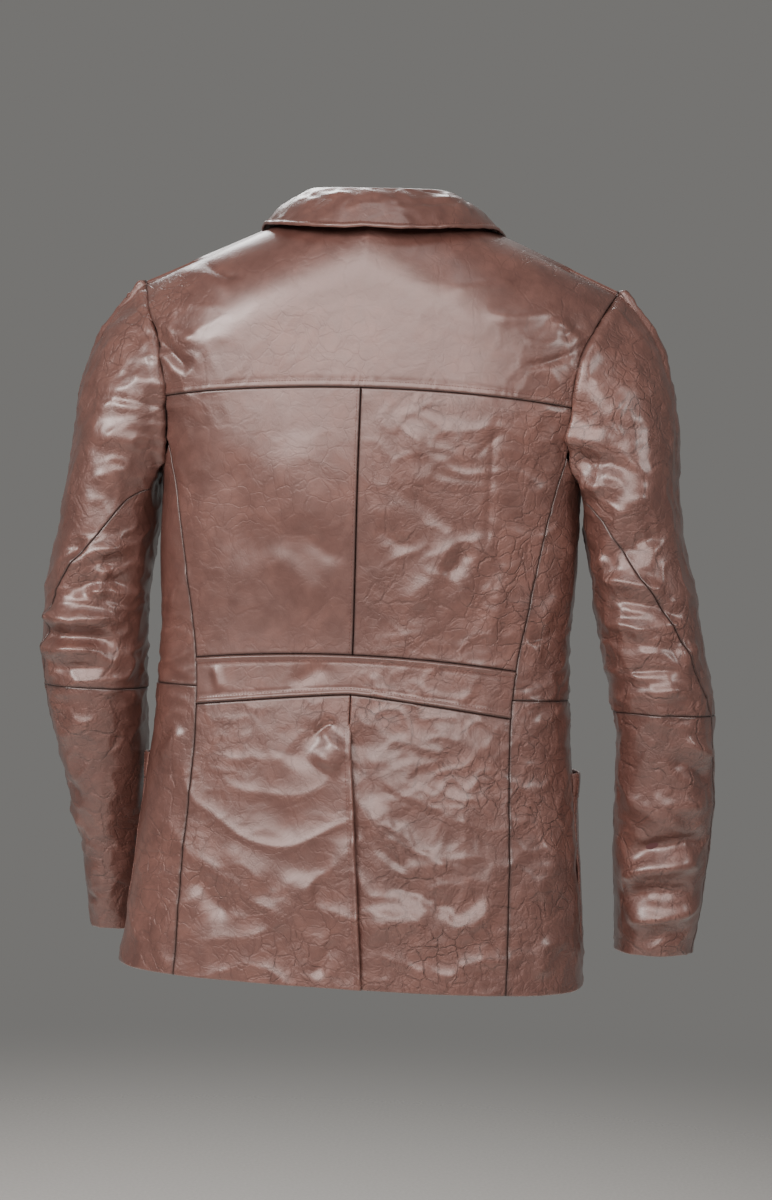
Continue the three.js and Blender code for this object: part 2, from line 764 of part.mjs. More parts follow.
// ---------------------------------------------------------------- sleeves
// A sleeve's surface, deep mm inside its outer face. The angle is 0 at the outer side, a quarter turn at
// the back. Down is 0 at the armhole and 1 at the end of the cap, and past that a level is given instead.
function sleeveForm(side, deep) {
  const rows = sleeveLevels[side];
  const at = Object.fromEntries(["x", "wx", "y", "wy"].map((k) => [k, profile(rows, k)]));
  const level = (angle, z) => [
    at.x(z) + (at.wx(z) - deep) * squaredRound(Math.cos(angle)),
    at.y(z) + (at.wy(z) - deep) * squaredRound(Math.sin(angle)),
    z,
  ];
  const rim = (angle) => {
    const [high, low] = [armholeTop - 4, armpitLevel + 0.5];
    const z = (high + low) / 2 + ((high - low) / 2) * Math.cos(angle);
    const x = crossing(armhole, z);
    const facing = Math.abs(Math.sin(angle)) < 1e-9 ? 0 : Math.sign(Math.sin(angle));
    const y = facing * Math.max(0, bodyDepth(x, z, facing > 0) - deep);
    const under = 1.2 * Math.max(0, -Math.cos(angle)) ** 4;
    return [x + 2 + 0.25 * deep + under, y, z - deep * Math.cos(angle)];
  };
  const cap = (angle, t) => {
    const [a, b] = [new THREE.Vector3(...rim(angle)), new THREE.Vector3(...level(angle, rows[0].z))];
    const reach = a.distanceTo(b);
    const high = (1 + Math.cos(angle)) / 2;
    const out = new THREE.Vector3(0.45 + 0.17 * high, 0.15 * Math.sin(angle), -1 + 0.2 * high);
    const down = new THREE.Vector3(0.15, 0, -1);
    const [t2, t3] = [t * t, t * t * t];
    return a
      .multiplyScalar(2 * t3 - 3 * t2 + 1)
      .addScaledVector(b, 3 * t2 - 2 * t3)
      .addScaledVector(out, reach * (t3 - 2 * t2 + t))
      .addScaledVector(down, reach * (t3 - t2))
      .toArray();
  };
  return { level, cap, at, top: rows[0].z, cuff: rows[rows.length - 1].z };
}
const squaredRound = (c) => Math.sign(c) * Math.pow(Math.abs(c), 0.92);

// The hinge line of an elbow: across the sleeve, a little in front of its middle.
const elbowPivot = (form) => form.at.y(elbowLevel) - 25;
const elbowNotch = (form, y) => Math.max(0, elbowPivot(form) - y) * Math.tan((Math.PI * elbowTurn) / 360);

// One length of sleeve; upper runs from the armhole to the elbow, lower to the cuff. Its columns stand at
// the angles that a function gives for each level, so seams can turn round the sleeve on their way down.
const capShare = 0.55; // share of the upper sleeve's rows that the cap takes
function sleevePart(side, upper, angles, depth, thick, cuffUp) {
  const columns = angles(elbowLevel).length - 1;
  const rowLevel = (form, v) => {
    if (!upper) return elbowLevel + (form.cuff - elbowLevel) * v;
    if (v < capShare) return armholeTop + ((form.top - armholeTop) * v) / capShare;
    return form.top + ((elbowLevel - form.top) * (v - capShare)) / (1 - capShare);
  };
  const surface = (deep) => {
    const form = sleeveForm(side, deep);
    return (u, v) => {
      const angle = angles(rowLevel(form, v))[Math.round(u * columns)];
      const y = form.level(angle, elbowLevel)[1];
      const notch = elbowNotch(form, y) + seamGap / 2;
      if (!upper) {
        const start = elbowLevel - notch;
        return form.level(angle, Math.max(start + (form.cuff - start) * v, form.cuff + cuffUp));
      }
      if (v < capShare) return form.cap(angle, v / capShare);
      const end = elbowLevel + notch;
      return form.level(angle, form.top + ((end - form.top) * (v - capShare)) / (1 - capShare));
    };
  };
  return sheet(surface(depth), surface(depth + thick), columns, upper ? 9 : 6);
}

// Sleeve seams: the back seam and the front seam part the top sleeve from the under sleeve. The back seam
// starts at the back of the armhole and turns to the outer side at the elbow; its rows give degrees.
const backSeam = profile(
  [
    { z: armholeTop, turn: 150 },
    { z: -240, turn: 142 },
    { z: -300, turn: 112 },
    { z: -380, turn: 66 },
    { z: elbowLevel, turn: 28 },
    { z: elbowLevel - 90, turn: 16 },
    { z: elbowLevel - 260, turn: 12 },
  ],
  "turn",
);
const backSeamAngle = (z) => (Math.PI * backSeam(z)) / 180;
const frontSeamAngle = (Math.PI * 258) / 180;
const slit = 0.008; // radians of seam gap

function addSleeve(side, sign) {
  const top = (z) => spaced(frontSeamAngle - 2 * Math.PI + slit, backSeamAngle(z) - slit, 13);
  const under = (z) => spaced(backSeamAngle(z) + slit, frontSeamAngle, 12);
  const round = (z) => [...top(z), ...under(z)];
  const flip = (made) => (sign > 0 ? made : made.scale([-1, 1, 1]));
  for (const [part, upper] of Object.entries({ upper: true, lower: false })) {
    const make = (...how) => flip(sleevePart(side, upper, ...how));
    add("top_sleeve_" + part + "_" + side, make(top, 0, leather, 0), "shell");
    add("under_sleeve_" + part + "_" + side, make(under, 0, leather, 0), "shell");
    add("sleeve_lining_" + part + "_" + side, make(round, leather + 3 * layerGap, lining, 14), "lining");
  }
}

// ---------------------------------------------------------------- buttons
function buttonSolid() {
  const profilePoints = [
    [0, 0],
    [2.6, 0],
    [2.6, 1.6],
    [buttonRadius - 1.2, 1.6],
    [buttonRadius, 2.6],
    [buttonRadius - 0.4, buttonHeight - 0.3],
    [buttonRadius - 2, buttonHeight],
    [buttonRadius - 3.4, buttonHeight - 1],
    [0, buttonHeight - 1],
  ].map(([r, y]) => new THREE.Vector2(r, y));
  return solid(new THREE.LatheGeometry(profilePoints, 14));
}

function addButton(name, x, z) {
  const y = -bodyDepth(x, z, false) - 0.4;
  add(name, buttonSolid().rotate([180, 0, 0]).translate([x, y, z]), "button");
}

// ---------------------------------------------------------------- assembly
addYoke();
addBelt();
addSkirts();
addNeckFacing();
addBackLining();
addCollar();
addHangingLoop();
for (const [side, sign, mirror] of sides) {
  addUpperBack(side, mirror);
  addSidePanels(side, mirror);
  addFront(side, mirror);
  addFacings(side, mirror);
  addLapel(side, mirror);
  addPocket(side, sign);
  addShoulderPad(side, mirror);
  addFrontLining(side, mirror);
  addSleeve(side, sign);
}
addButton("front_button_top", -(frontGap + 14), breakLevel - 13);
addButton("front_button_lower", -(frontGap + 14), breakLevel - 137);

export default jacket;
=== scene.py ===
"""The looks of a leather blazer that hangs from its shoulders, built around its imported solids.

Every leather panel is a patch between its own seam lines, laid on the coat's form, creased, given its
thickness and sewn. Lengths are millimetres until a mesh is made, and then metres. +Z is up, the back faces
+Y and the wearer's left is +X.
"""

import json
import math

import bmesh
import bpy
import numpy as np
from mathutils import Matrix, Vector

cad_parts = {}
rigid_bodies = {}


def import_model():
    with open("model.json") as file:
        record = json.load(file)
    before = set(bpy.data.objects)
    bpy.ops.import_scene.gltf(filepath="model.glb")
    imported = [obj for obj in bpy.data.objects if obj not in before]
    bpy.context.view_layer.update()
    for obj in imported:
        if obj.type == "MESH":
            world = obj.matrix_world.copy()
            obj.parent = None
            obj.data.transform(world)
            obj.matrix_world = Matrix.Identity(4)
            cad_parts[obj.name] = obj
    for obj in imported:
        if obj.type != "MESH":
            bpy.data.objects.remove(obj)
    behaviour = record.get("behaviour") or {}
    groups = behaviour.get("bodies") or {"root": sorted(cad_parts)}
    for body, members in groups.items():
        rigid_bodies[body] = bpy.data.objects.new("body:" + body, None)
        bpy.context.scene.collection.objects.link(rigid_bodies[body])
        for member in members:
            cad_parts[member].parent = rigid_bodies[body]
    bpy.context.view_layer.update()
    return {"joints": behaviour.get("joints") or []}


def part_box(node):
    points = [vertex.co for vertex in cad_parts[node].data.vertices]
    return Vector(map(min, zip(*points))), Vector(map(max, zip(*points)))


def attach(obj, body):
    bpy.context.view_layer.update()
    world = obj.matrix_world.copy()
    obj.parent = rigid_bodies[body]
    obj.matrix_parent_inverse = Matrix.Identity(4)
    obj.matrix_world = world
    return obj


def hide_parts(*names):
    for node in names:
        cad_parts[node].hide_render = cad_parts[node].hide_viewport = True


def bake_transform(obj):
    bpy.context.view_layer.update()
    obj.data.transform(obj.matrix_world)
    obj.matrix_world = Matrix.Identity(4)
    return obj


bl_info = {
    "name": "Leather blazer",
    "version": (1, 0, 0),
    "blender": (4, 5, 0),
    "location": "3D View > Sidebar > Blazer",
    "description": "Creased leather panels, seams, stitches and lining of a hanging blazer",
    "category": "Add Mesh",
}

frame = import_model()
PI = math.pi


def reach(node, end, axis):
    """One corner coordinate of a CAD node, in millimetres: end 0 is the lowest, 1 the highest."""
    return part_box(node)[end]["xyz".index(axis)] * 1000


# ------------------------------------------------------------------------------------------ the coat's form
HEM = reach("back_skirt_left", 0, "z")
ARMPIT = reach("side_panel_upper_left", 1, "z") - 30
YOKE = reach("upper_back_left", 1, "z")
BELT_TOP = reach("back_belt", 1, "z")
VENT_TOP = reach("back_vent_flap", 1, "z")
SIDE_WAIST = reach("side_panel_lower_left", 1, "z")
POCKET_TOP = reach("patch_pocket_left", 1, "z")
POCKET_FOOT = reach("patch_pocket_left", 0, "z")
FRONT_EDGE = reach("front_left", 0, "x")
ELBOW = reach("top_sleeve_lower_left", 1, "z")
NECK = 78.0  # half width of the neck hole
SLOPE = 0.46  # fall of the shoulder per millimetre of width
RIDGE = NECK * SLOPE + 4
ROUND = 110.0  # height over which a shoulder rounds over
SQUARE = 2.6  # exponent of the cross-section, where 2 is an ellipse
SHOULDER = 240.0
BELT_WIDTH = 38.0
BREAK = -338.0  # where the lapels start to turn back
VENT_LAP = 25.0  # how far the vent's upper edge has passed the centre at the hem
UNDER_LAP = 24.0  # how far the lap beneath it has passed the centre the other way
CENTRE_GAP = 0.2  # half the gap at the centre back seam
SHOULDER_END = SHOULDER - 1
LINING_DEPTH = 8.0  # the depths of the inner layers under the leather's face
FACING_DEPTH = 5.5
NECK_FACING_DEPTH = 10.2
PAD_DEPTH = 4.4
FOLD_STRIP = {"vent": 46, "corner": 44, "lapel": 14}  # width of a strip across each fold's axis, in mm

# level, half width, depth behind, depth in front
TRUNK = np.array(
    [
        (60, 238, 100, 96),
        (-150, 237, 100, 97),
        (-252, 210, 98, 95),
        (-340, 209, 90, 88),
        (-430, 204, 83, 80),
        (-520, 209, 87, 83),
        (-620, 219, 95, 89),
        (HEM, 231, 102, 94),
        (HEM - 60, 234, 104, 95),
    ],
    float,
)
# level, middle across, half width, middle front to back, half depth
SLEEVES = {
    "left": np.array(
        [
            (-300, 263, 48, -2, 67),
            (-390, 275, 51, 2, 61),
            (ELBOW, 272, 49, 0, 57),
            (-560, 266, 40, -26, 57),
            (-640, 260, 33, -62, 57),
            (-728, 257, 28, -84, 54),
        ],
        float,
    ),
    "right": np.array(
        [
            (-300, 262, 48, -2, 67),
            (-390, 282, 50, 2, 60),
            (ELBOW, 299, 48, 0, 56),
            (-560, 303, 48, -16, 52),
            (-640, 303, 46, -38, 50),
            (-718, 298, 38, -58, 48),
        ],
        float,
    ),
}
SIGN = {"left": 1, "right": -1}


def profile(rows, z):
    """Smooth values at levels z from rows of (level, values...), highest first."""
    levels, values = rows[:, 0], rows[:, 1:]
    z = np.asarray(z, float)
    low = np.maximum(np.arange(len(rows)) - 1, 0)
    high = np.minimum(np.arange(len(rows)) + 1, len(rows) - 1)
    slope = (values[high] - values[low]) / (levels[high] - levels[low])[:, None]
    i = (z[..., None] < levels[1:-1]).sum(-1)
    step = levels[i + 1] - levels[i]
    t = np.clip((z - levels[i]) / step, 0, 1)[..., None]
    step = step[..., None]
    return (
        values[i] * (2 * t**3 - 3 * t**2 + 1)
        + values[i + 1] * (3 * t**2 - 2 * t**3)
        + slope[i] * step * (t**3 - 2 * t**2 + t)
        + slope[i + 1] * step * (t**3 - t**2)
    )


def rooted(c):
    """A sine or cosine turned into the trunk's squarer outline."""
    return np.sign(c) * np.abs(c) ** (2 / SQUARE)


def trunk_point(theta, z, deep=0.0):
    """The trunk's surface at an angle round it, 0 at the wearer's left and a quarter turn at the back."""
    half, back, front = np.moveaxis(profile(TRUNK, z), -1, 0)
    c, s = np.cos(theta), np.sin(theta)
    x = (half - deep) * rooted(c)
    fall = (RIDGE - SLOPE * np.abs(x) - deep * 1.1 - z) / ROUND
    rounding = np.sqrt(np.clip(1 - (1 - np.clip(fall, 0, 1)) ** 2, 0, 1))
    y = (np.where(s >= 0, back, front) - deep) * rooted(s) * rounding
    return np.stack([x, y, z + 0 * x], -1)


def theta_at(x, z, face):
    """The angle of the trunk's surface at x, z: face 1 is the back and -1 the front."""
    half = profile(TRUNK, z)[..., 0]
    c = np.sign(x) * np.clip(np.abs(x) / half, 0, 1) ** (SQUARE / 2)
    return face * np.arccos(c)


def spline(points, n=60):
    """Points along a smooth curve through the given ones."""
    p = np.asarray(points, float)
    ext = np.vstack([p[:1], p, p[-1:]])
    t = np.linspace(0, len(p) - 1, n)
    i = np.minimum(t.astype(int), len(p) - 2)
    f = (t - i)[:, None]
    a, b, c, d = ext[i], ext[i + 1], ext[i + 2], ext[i + 3]
    return 0.5 * (2 * b + (c - a) * f + (2 * a - 5 * b + 4 * c - d) * f**2 + (3 * b - a - 3 * c + d) * f**3)


ARMHOLE = spline(
    [
        (246, -50),
        (SHOULDER, -62),
        (224, -94),
        (209, -130),
        (200, -170),
        (197, -212),
        (200, -240),
        (212, ARMPIT),
    ]
)
PRINCESS = spline(
    [
        (197, -226),
        (188, -262),
        (180, -300),
        (168, -370),
        (157, -435),
        (153.5, -490),
        (155, -560),
        (159, -640),
        (161, HEM),
    ]
)
FRONT_SEAM = spline([(197, -226), (191, -300), (186, -400), (184, -500), (186, -620), (190, HEM)])


def crossing(line, z):
    """Where a seam line of (x, z) points crosses a level."""
    return np.interp(-np.asarray(z, float), -line[:, 1], line[:, 0])


# levels of the seams and the neck at a distance x from the centre
def yoke_seam(x):
    return YOKE - 10 * (x / 200) ** 2


def belt_edge(x):
    return BELT_TOP - 9 * (x / 155) ** 2


def belt_foot(x):
    return BELT_TOP - BELT_WIDTH - 17 * np.abs(x / 155) ** 1.2


def neck_back(x):
    return -12 + (RIDGE - SLOPE * NECK + 12) * (np.abs(x) / NECK) ** 2.2


# ------------------------------------------------------------------------------------------ noise and creases
class Noise:
    """Smooth gradient noise from -1 to 1 with a fixed seed."""

    def __init__(self, seed):
        rng = np.random.RandomState(seed)
        self.table = rng.permutation(256)
        self.slopes = rng.normal(size=(256, 3))
        self.slopes /= np.linalg.norm(self.slopes, axis=1, keepdims=True)

    def __call__(self, p, size, offset=0.0):
        p = p / size + offset
        cell = np.floor(p).astype(int)
        f = p - cell
        w = f**3 * (f * (f * 6 - 15) + 10)
        total = 0
        for dx in (0, 1):
            for dy in (0, 1):
                for dz in (0, 1):
                    i, j, k = (cell[..., n] + d & 255 for n, d in enumerate((dx, dy, dz)))
                    g = self.slopes[self.table[(self.table[(self.table[i] + j) & 255] + k) & 255]]
                    dot = ((f - (dx, dy, dz)) * g).sum(-1)
                    fade = 1
                    for n, d in enumerate((dx, dy, dz)):
                        fade = fade * (w[..., n] if d else 1 - w[..., n])
                    total = total + dot * fade
        return total * 1.6


soft_noise = Noise(7)


def smooth(t):
    t = np.clip(t, 0, 1)
    return t * t * (3 - 2 * t)


def crease(s, z, start, end, height, width, bow=0.0, sharp=False):
    """A ridge, or a valley of negative height, between two places (s, z) of a surface; bow curves it."""
    start, end = np.array(start, float), np.array(end, float)
    run = end - start
    length = np.hypot(*run)
    along = run / length
    t = ((s - start[0]) * along[0] + (z - start[1]) * along[1]) / length
    off = (s - start[0]) * -along[1] + (z - start[1]) * along[0] - bow * 4 * t * (1 - t)
    taper = smooth(t / 0.3) * smooth((1 - t) / 0.3)
    shape = np.exp(-np.abs(off) / width * 1.4) if sharp else np.exp(-((off / width) ** 2))
    return height * shape * taper


def rumple(p, size, amount, power=2.0, offset=0.0):
    """Buckled leather: soft facets that meet in thin ridges."""
    bent = p + 0.35 * size * np.stack([soft_noise(p, size * 1.3, k) for k in (3.1, 7.7, 11.3)], -1)
    return amount * (1 - np.abs(soft_noise(bent, size, offset)) * 1.6).clip(0, 1) ** power


# ------------------------------------------------------------------------------------------ patches
ALL_EDGES = ("left", "right", "top", "bottom")
EDGE_STEPS = np.array([0, 0.45, 1.1, 2.0, 3.2, 4.8, 7.0])  # rows close to a seam, from it


def spread(length, step):
    """Stations from 0 to 1 along a length, close together at both ends."""
    edge = EDGE_STEPS * min(1.0, length / 24)
    inner = length - 2 * edge[-1]
    count = max(2, int(round(inner / step)))
    middle = edge[-1] + inner * np.arange(1, count) / count
    return np.concatenate([edge, middle, length - edge[::-1]]) / length


def wear_at(p):
    """How creased the hide is, from 0 to 1: least in the yoke and the left of the back."""
    x, z = p[..., 0], p[..., 2]
    sleeve = smooth((np.abs(x) - 225) / 20)
    right = smooth((-x + 5) / 30) * smooth((YOKE + 6 - z) / 16)
    skirt = smooth((BELT_TOP - 30 - z) / 30)
    armhole = np.exp(-(((np.abs(x) - 205) / 40) ** 2)) * smooth((z + 330) / 80)
    elbow = np.exp(-(((z - ELBOW - 20) / 120) ** 2)) * sleeve
    worn = 0.22 + 0.5 * right + 0.38 * skirt + 0.45 * armhole + 0.35 * sleeve + 0.35 * elbow
    return np.clip(worn * (0.85 + 0.5 * soft_noise(p, 90.0, 21.0)), 0.1, 1.0)


class Patch:
    """A sheet of points between four seam lines, with its distance from each of them."""

    def __init__(self, surface, top, bottom, left, right, step=3.4, centre=None):
        across = np.linspace(0, 1, 40)
        width = max(self.length(surface(*top(across).T)), self.length(surface(*bottom(across).T)))
        height = max(self.length(surface(*left(across).T)), self.length(surface(*right(across).T)))
        u, v = np.meshgrid(spread(width, step), spread(height, step))
        self.place = self.blend(top, bottom, left, right, u, v)
        self.rest = surface(self.place[..., 0], self.place[..., 1])
        self.measure()
        self.facing = 1
        normal = self.normals(self.rest)
        hub = self.rest * (0, 0, 1) if centre is None else centre(self.rest)
        if ((self.rest - hub) * normal).sum() < 0:
            self.facing = -1
        self.normal = self.normals(self.rest)
        self.points = self.rest.copy()
        self.seam = np.zeros(u.shape)

    @staticmethod
    def length(p):
        return np.linalg.norm(np.diff(p, axis=0), axis=1).sum()

    @staticmethod
    def blend(top, bottom, left, right, u, v):
        t, b = top(u.ravel()).reshape(*u.shape, 2), bottom(u.ravel()).reshape(*u.shape, 2)
        l, r = left(v.ravel()).reshape(*u.shape, 2), right(v.ravel()).reshape(*u.shape, 2)
        tl, tr = top(np.zeros(1))[0], top(np.ones(1))[0]
        bl, br = bottom(np.zeros(1))[0], bottom(np.ones(1))[0]
        u, v = u[..., None], v[..., None]
        corners = (1 - u) * (1 - v) * tl + u * (1 - v) * tr + (1 - u) * v * bl + u * v * br
        return (1 - v) * t + v * b + (1 - u) * l + u * r - corners

    def measure(self):
        """Distances from the left, right, top and bottom edges, over the surface."""
        du = np.linalg.norm(np.diff(self.rest, axis=1), axis=2)
        dv = np.linalg.norm(np.diff(self.rest, axis=0), axis=2)
        self.from_left = np.hstack([np.zeros((len(du), 1)), np.cumsum(du, axis=1)])
        self.from_right = self.from_left[:, -1:] - self.from_left
        self.from_top = np.vstack([np.zeros((1, dv.shape[1])), np.cumsum(dv, axis=0)])
        self.from_bottom = self.from_top[-1:] - self.from_top
        self.edges = {
            "left": self.from_left,
            "right": self.from_right,
            "top": self.from_top,
            "bottom": self.from_bottom,
        }

    def normals(self, p):
        du = np.gradient(p, axis=1)
        dv = np.gradient(p, axis=0)
        n = np.cross(du, dv) * self.facing
        return n / np.maximum(np.linalg.norm(n, axis=-1, keepdims=True), 1e-9)

    def window(self, rows, columns):
        """A part of the patch, as a patch of its own."""
        part = Patch.__new__(Patch)
        part.facing = self.facing
        for key in ("rest", "points", "normal", "place", "seam"):
            setattr(part, key, getattr(self, key)[rows, columns])
        part.measure()
        return part

    def raise_by(self, height):
        self.points = self.points + self.normal * np.asarray(height)[..., None]

    def line(self, edge, distance, trim=3.0):
        """Points and normals of a row that runs the given distance from an edge, on the finished surface."""
        d = self.edges[edge]
        normal = self.normals(self.points)
        grid = (self.points, normal)
        run = self.from_top
        if edge in ("top", "bottom"):
            d, grid, run = d.T, [g.transpose(1, 0, 2) for g in grid], self.from_left.T
        rows, keep = [], []
        for i in range(len(d)):
            order = np.argsort(d[i])
            j = int(np.clip(np.searchsorted(d[i][order], distance), 1, d.shape[1] - 1))
            a, b = order[j - 1], order[j]
            f = (distance - d[i][a]) / max(d[i][b] - d[i][a], 1e-6)
            rows.append([g[i, a] * (1 - f) + g[i, b] * f for g in grid])
            along = run[i, a]
            keep.append(trim <= along <= run[-1, a] - trim)
        rows = np.array(rows)[np.array(keep)]
        return rows[:, 0], rows[:, 1]

    def solid(self, name, thick, material):
        """A closed sheet of the given thickness with its outer face on the patch."""
        rows, columns = self.points.shape[:2]
        outer = self.points.reshape(-1, 3)
        inner = (self.points - self.normals(self.points) * thick).reshape(-1, 3)
        count = rows * columns
        grid = np.arange(count).reshape(rows, columns)
        a, b, c, d = grid[:-1, :-1], grid[:-1, 1:], grid[1:, 1:], grid[1:, :-1]
        face = np.stack([a, b, c, d], -1).reshape(-1, 4)
        rim = np.concatenate([grid[0, :-1], grid[:-1, -1], grid[-1, :0:-1], grid[:0:-1, 0]])
        after = np.roll(rim, -1)
        wall = np.stack([rim, rim + count, after + count, after], -1)
        if self.facing < 0:
            face, wall = face[:, ::-1], wall[:, ::-1]
        faces = np.vstack([face, face[:, ::-1] + count, wall])
        obj = mesh_object(name, np.vstack([outer, inner]), faces, material)
        uv = np.stack([self.from_left, -self.from_top], -1).reshape(-1, 2) / 1000
        set_uv(obj, np.vstack([uv, uv]))
        for label, value in (("wear", wear_at(self.rest)), ("seam", self.seam)):
            value = np.concatenate([value.ravel()] * 2)
            obj.data.attributes.new(label, "FLOAT", "POINT").data.foreach_set("value", value)
        return obj


def mesh_object(name, points, faces, material, smooth_faces=True):
    """A mesh object from points in millimetres and quads or triangles."""
    mesh = bpy.data.meshes.new(name)
    faces = np.asarray(faces)
    mesh.vertices.add(len(points))
    mesh.vertices.foreach_set("co", (np.asarray(points) / 1000).ravel())
    mesh.loops.add(faces.size)
    mesh.loops.foreach_set("vertex_index", faces.ravel())
    mesh.polygons.add(len(faces))
    mesh.polygons.foreach_set("loop_start", np.arange(len(faces)) * faces.shape[1])
    mesh.polygons.foreach_set("loop_total", np.full(len(faces), faces.shape[1]))
    mesh.polygons.foreach_set("use_smooth", np.full(len(faces), smooth_faces))
    mesh.update(calc_edges=True)
    mesh.validate()
    mesh.materials.append(material)
    obj = bpy.data.objects.new(name, mesh)
    bpy.context.collection.objects.link(obj)
    return obj


def set_uv(obj, uv):
    layer = obj.data.uv_layers.new(name="cut")
    loops = np.empty(len(obj.data.loops), int)
    obj.data.loops.foreach_get("vertex_index", loops)
    layer.data.foreach_set("uv", uv[loops].ravel())


def track(points, face):
    """A seam line of (x, z) points as a function from 0 to 1 to the trunk's (angle, level)."""
    p = np.asarray(points, float)
    flat = np.stack([theta_at(p[:, 0], p[:, 1], face), p[:, 1]], -1)
    solid = trunk_point(flat[:, 0], flat[:, 1])
    run = np.concatenate([[0], np.cumsum(np.linalg.norm(np.diff(solid, axis=0), axis=1))])
    run = run / run[-1]
    return lambda t: np.stack([np.interp(t, run, flat[:, 0]), np.interp(t, run, flat[:, 1])], -1)


def tracks(face, *lines):
    return [track(line, face) for line in lines]


def straight(start, end, dip=0.0):
    """A line between two (angle, level) places that sags between them."""

    def line(t):
        angle = start[0] * (1 - t) + end[0] * t
        level = start[1] * (1 - t) + end[1] * t - dip * np.sin(PI * t) ** 0.7
        return np.stack([angle, level], -1)

    return line


def turned_round(line):
    """The same line one turn on, so that a panel can cross the wearer's right side."""
    return lambda t: line(t) + (2 * PI, 0)


def ends_of(line):
    return line(np.array([0.0, 1.0]))


def level_line(function, start, end):
    """Points (x, z) from one x to another, at the level that the function gives."""
    x = np.linspace(start, end, 60)
    return np.stack([x, function(x) + 0 * x], -1)


def part_of(line, high, low, n=70):
    """The stretch of a seam line between two levels."""
    z = np.linspace(high, low, n)
    return np.stack([crossing(line, z), z], -1)


def flipped(points):
    """The line on the wearer's right."""
    p = np.array(points, float)
    p[:, 0] *= -1
    return p


def sided(points, side):
    return flipped(points) if side == "right" else np.asarray(points, float)


def lerp_line(a, b, n=40):
    """Points of a straight line."""
    t = np.linspace(0, 1, n)[:, None]
    return np.array(a) * (1 - t) + np.array(b) * t


# ------------------------------------------------------------------------------------------ materials
BLACK, WHITE = (0, 0, 0, 1), (1, 1, 1, 1)


def linear(code, alpha=1.0):
    """An sRGB hex colour as linear light."""
    parts = [int(code[i : i + 2], 16) / 255 for i in (1, 3, 5)]
    return [c / 12.92 if c <= 0.04045 else ((c + 0.055) / 1.055) ** 2.4 for c in parts] + [alpha]


def node(tree, kind, links=None, **values):
    """A node with its settings and inputs.

    links maps an input's name or number to an output socket, in_NAME sets an input's value, and stops fills
    a colour ramp with (place, colour).
    """
    made = tree.nodes.new(kind)
    for key, value in values.items():
        if key.startswith("in_"):
            name = key[3:].replace("_", " ")
            made.inputs[int(name) if name.isdigit() else name].default_value = value
        elif key == "stops":
            while len(made.color_ramp.elements) < len(value):
                made.color_ramp.elements.new(0.5)
            for element, (place, colour) in zip(made.color_ramp.elements, value):
                element.position = place
                element.color = colour
        else:
            setattr(made, key, value)
    for key, socket in (links or {}).items():
        tree.links.new(socket, made.inputs[key])
    return made


def new_material(name):
    material = bpy.data.materials.new(name)
    material.use_nodes = True
    tree = material.node_tree
    tree.nodes.clear()
    shader = node(tree, "ShaderNodeBsdfPrincipled")
    node(tree, "ShaderNodeOutputMaterial", {"Surface": shader.outputs[0]})
    return material, tree, shader


def noise_colour(tree, shader, scale, detail, stops):
    """Sets a shader's colour from noise, by stops of (place, hex colour), and gives back the coordinates."""
    where = node(tree, "ShaderNodeTexCoord").outputs["Object"]
    noise = node(tree, "ShaderNodeTexNoise", {"Vector": where}, in_Scale=scale, in_Detail=detail)
    stops = [(place, linear(colour)) for place, colour in stops]
    shade = node(tree, "ShaderNodeValToRGB", {0: noise.outputs[0]}, stops=stops)
    tree.links.new(shade.outputs[0], shader.inputs["Base Color"])
    return where


def crease_lines(tree, where, scale, width):
    """Thin lines along the edges of irregular facets; 0 on a line and 1 off it."""
    facets = node(tree, "ShaderNodeTexVoronoi", {"Vector": where}, feature="DISTANCE_TO_EDGE", in_Scale=scale)
    lines = node(tree, "ShaderNodeValToRGB", {0: facets.outputs[0]}, stops=[(0.0, BLACK), (width, WHITE)])
    return lines.outputs[0]


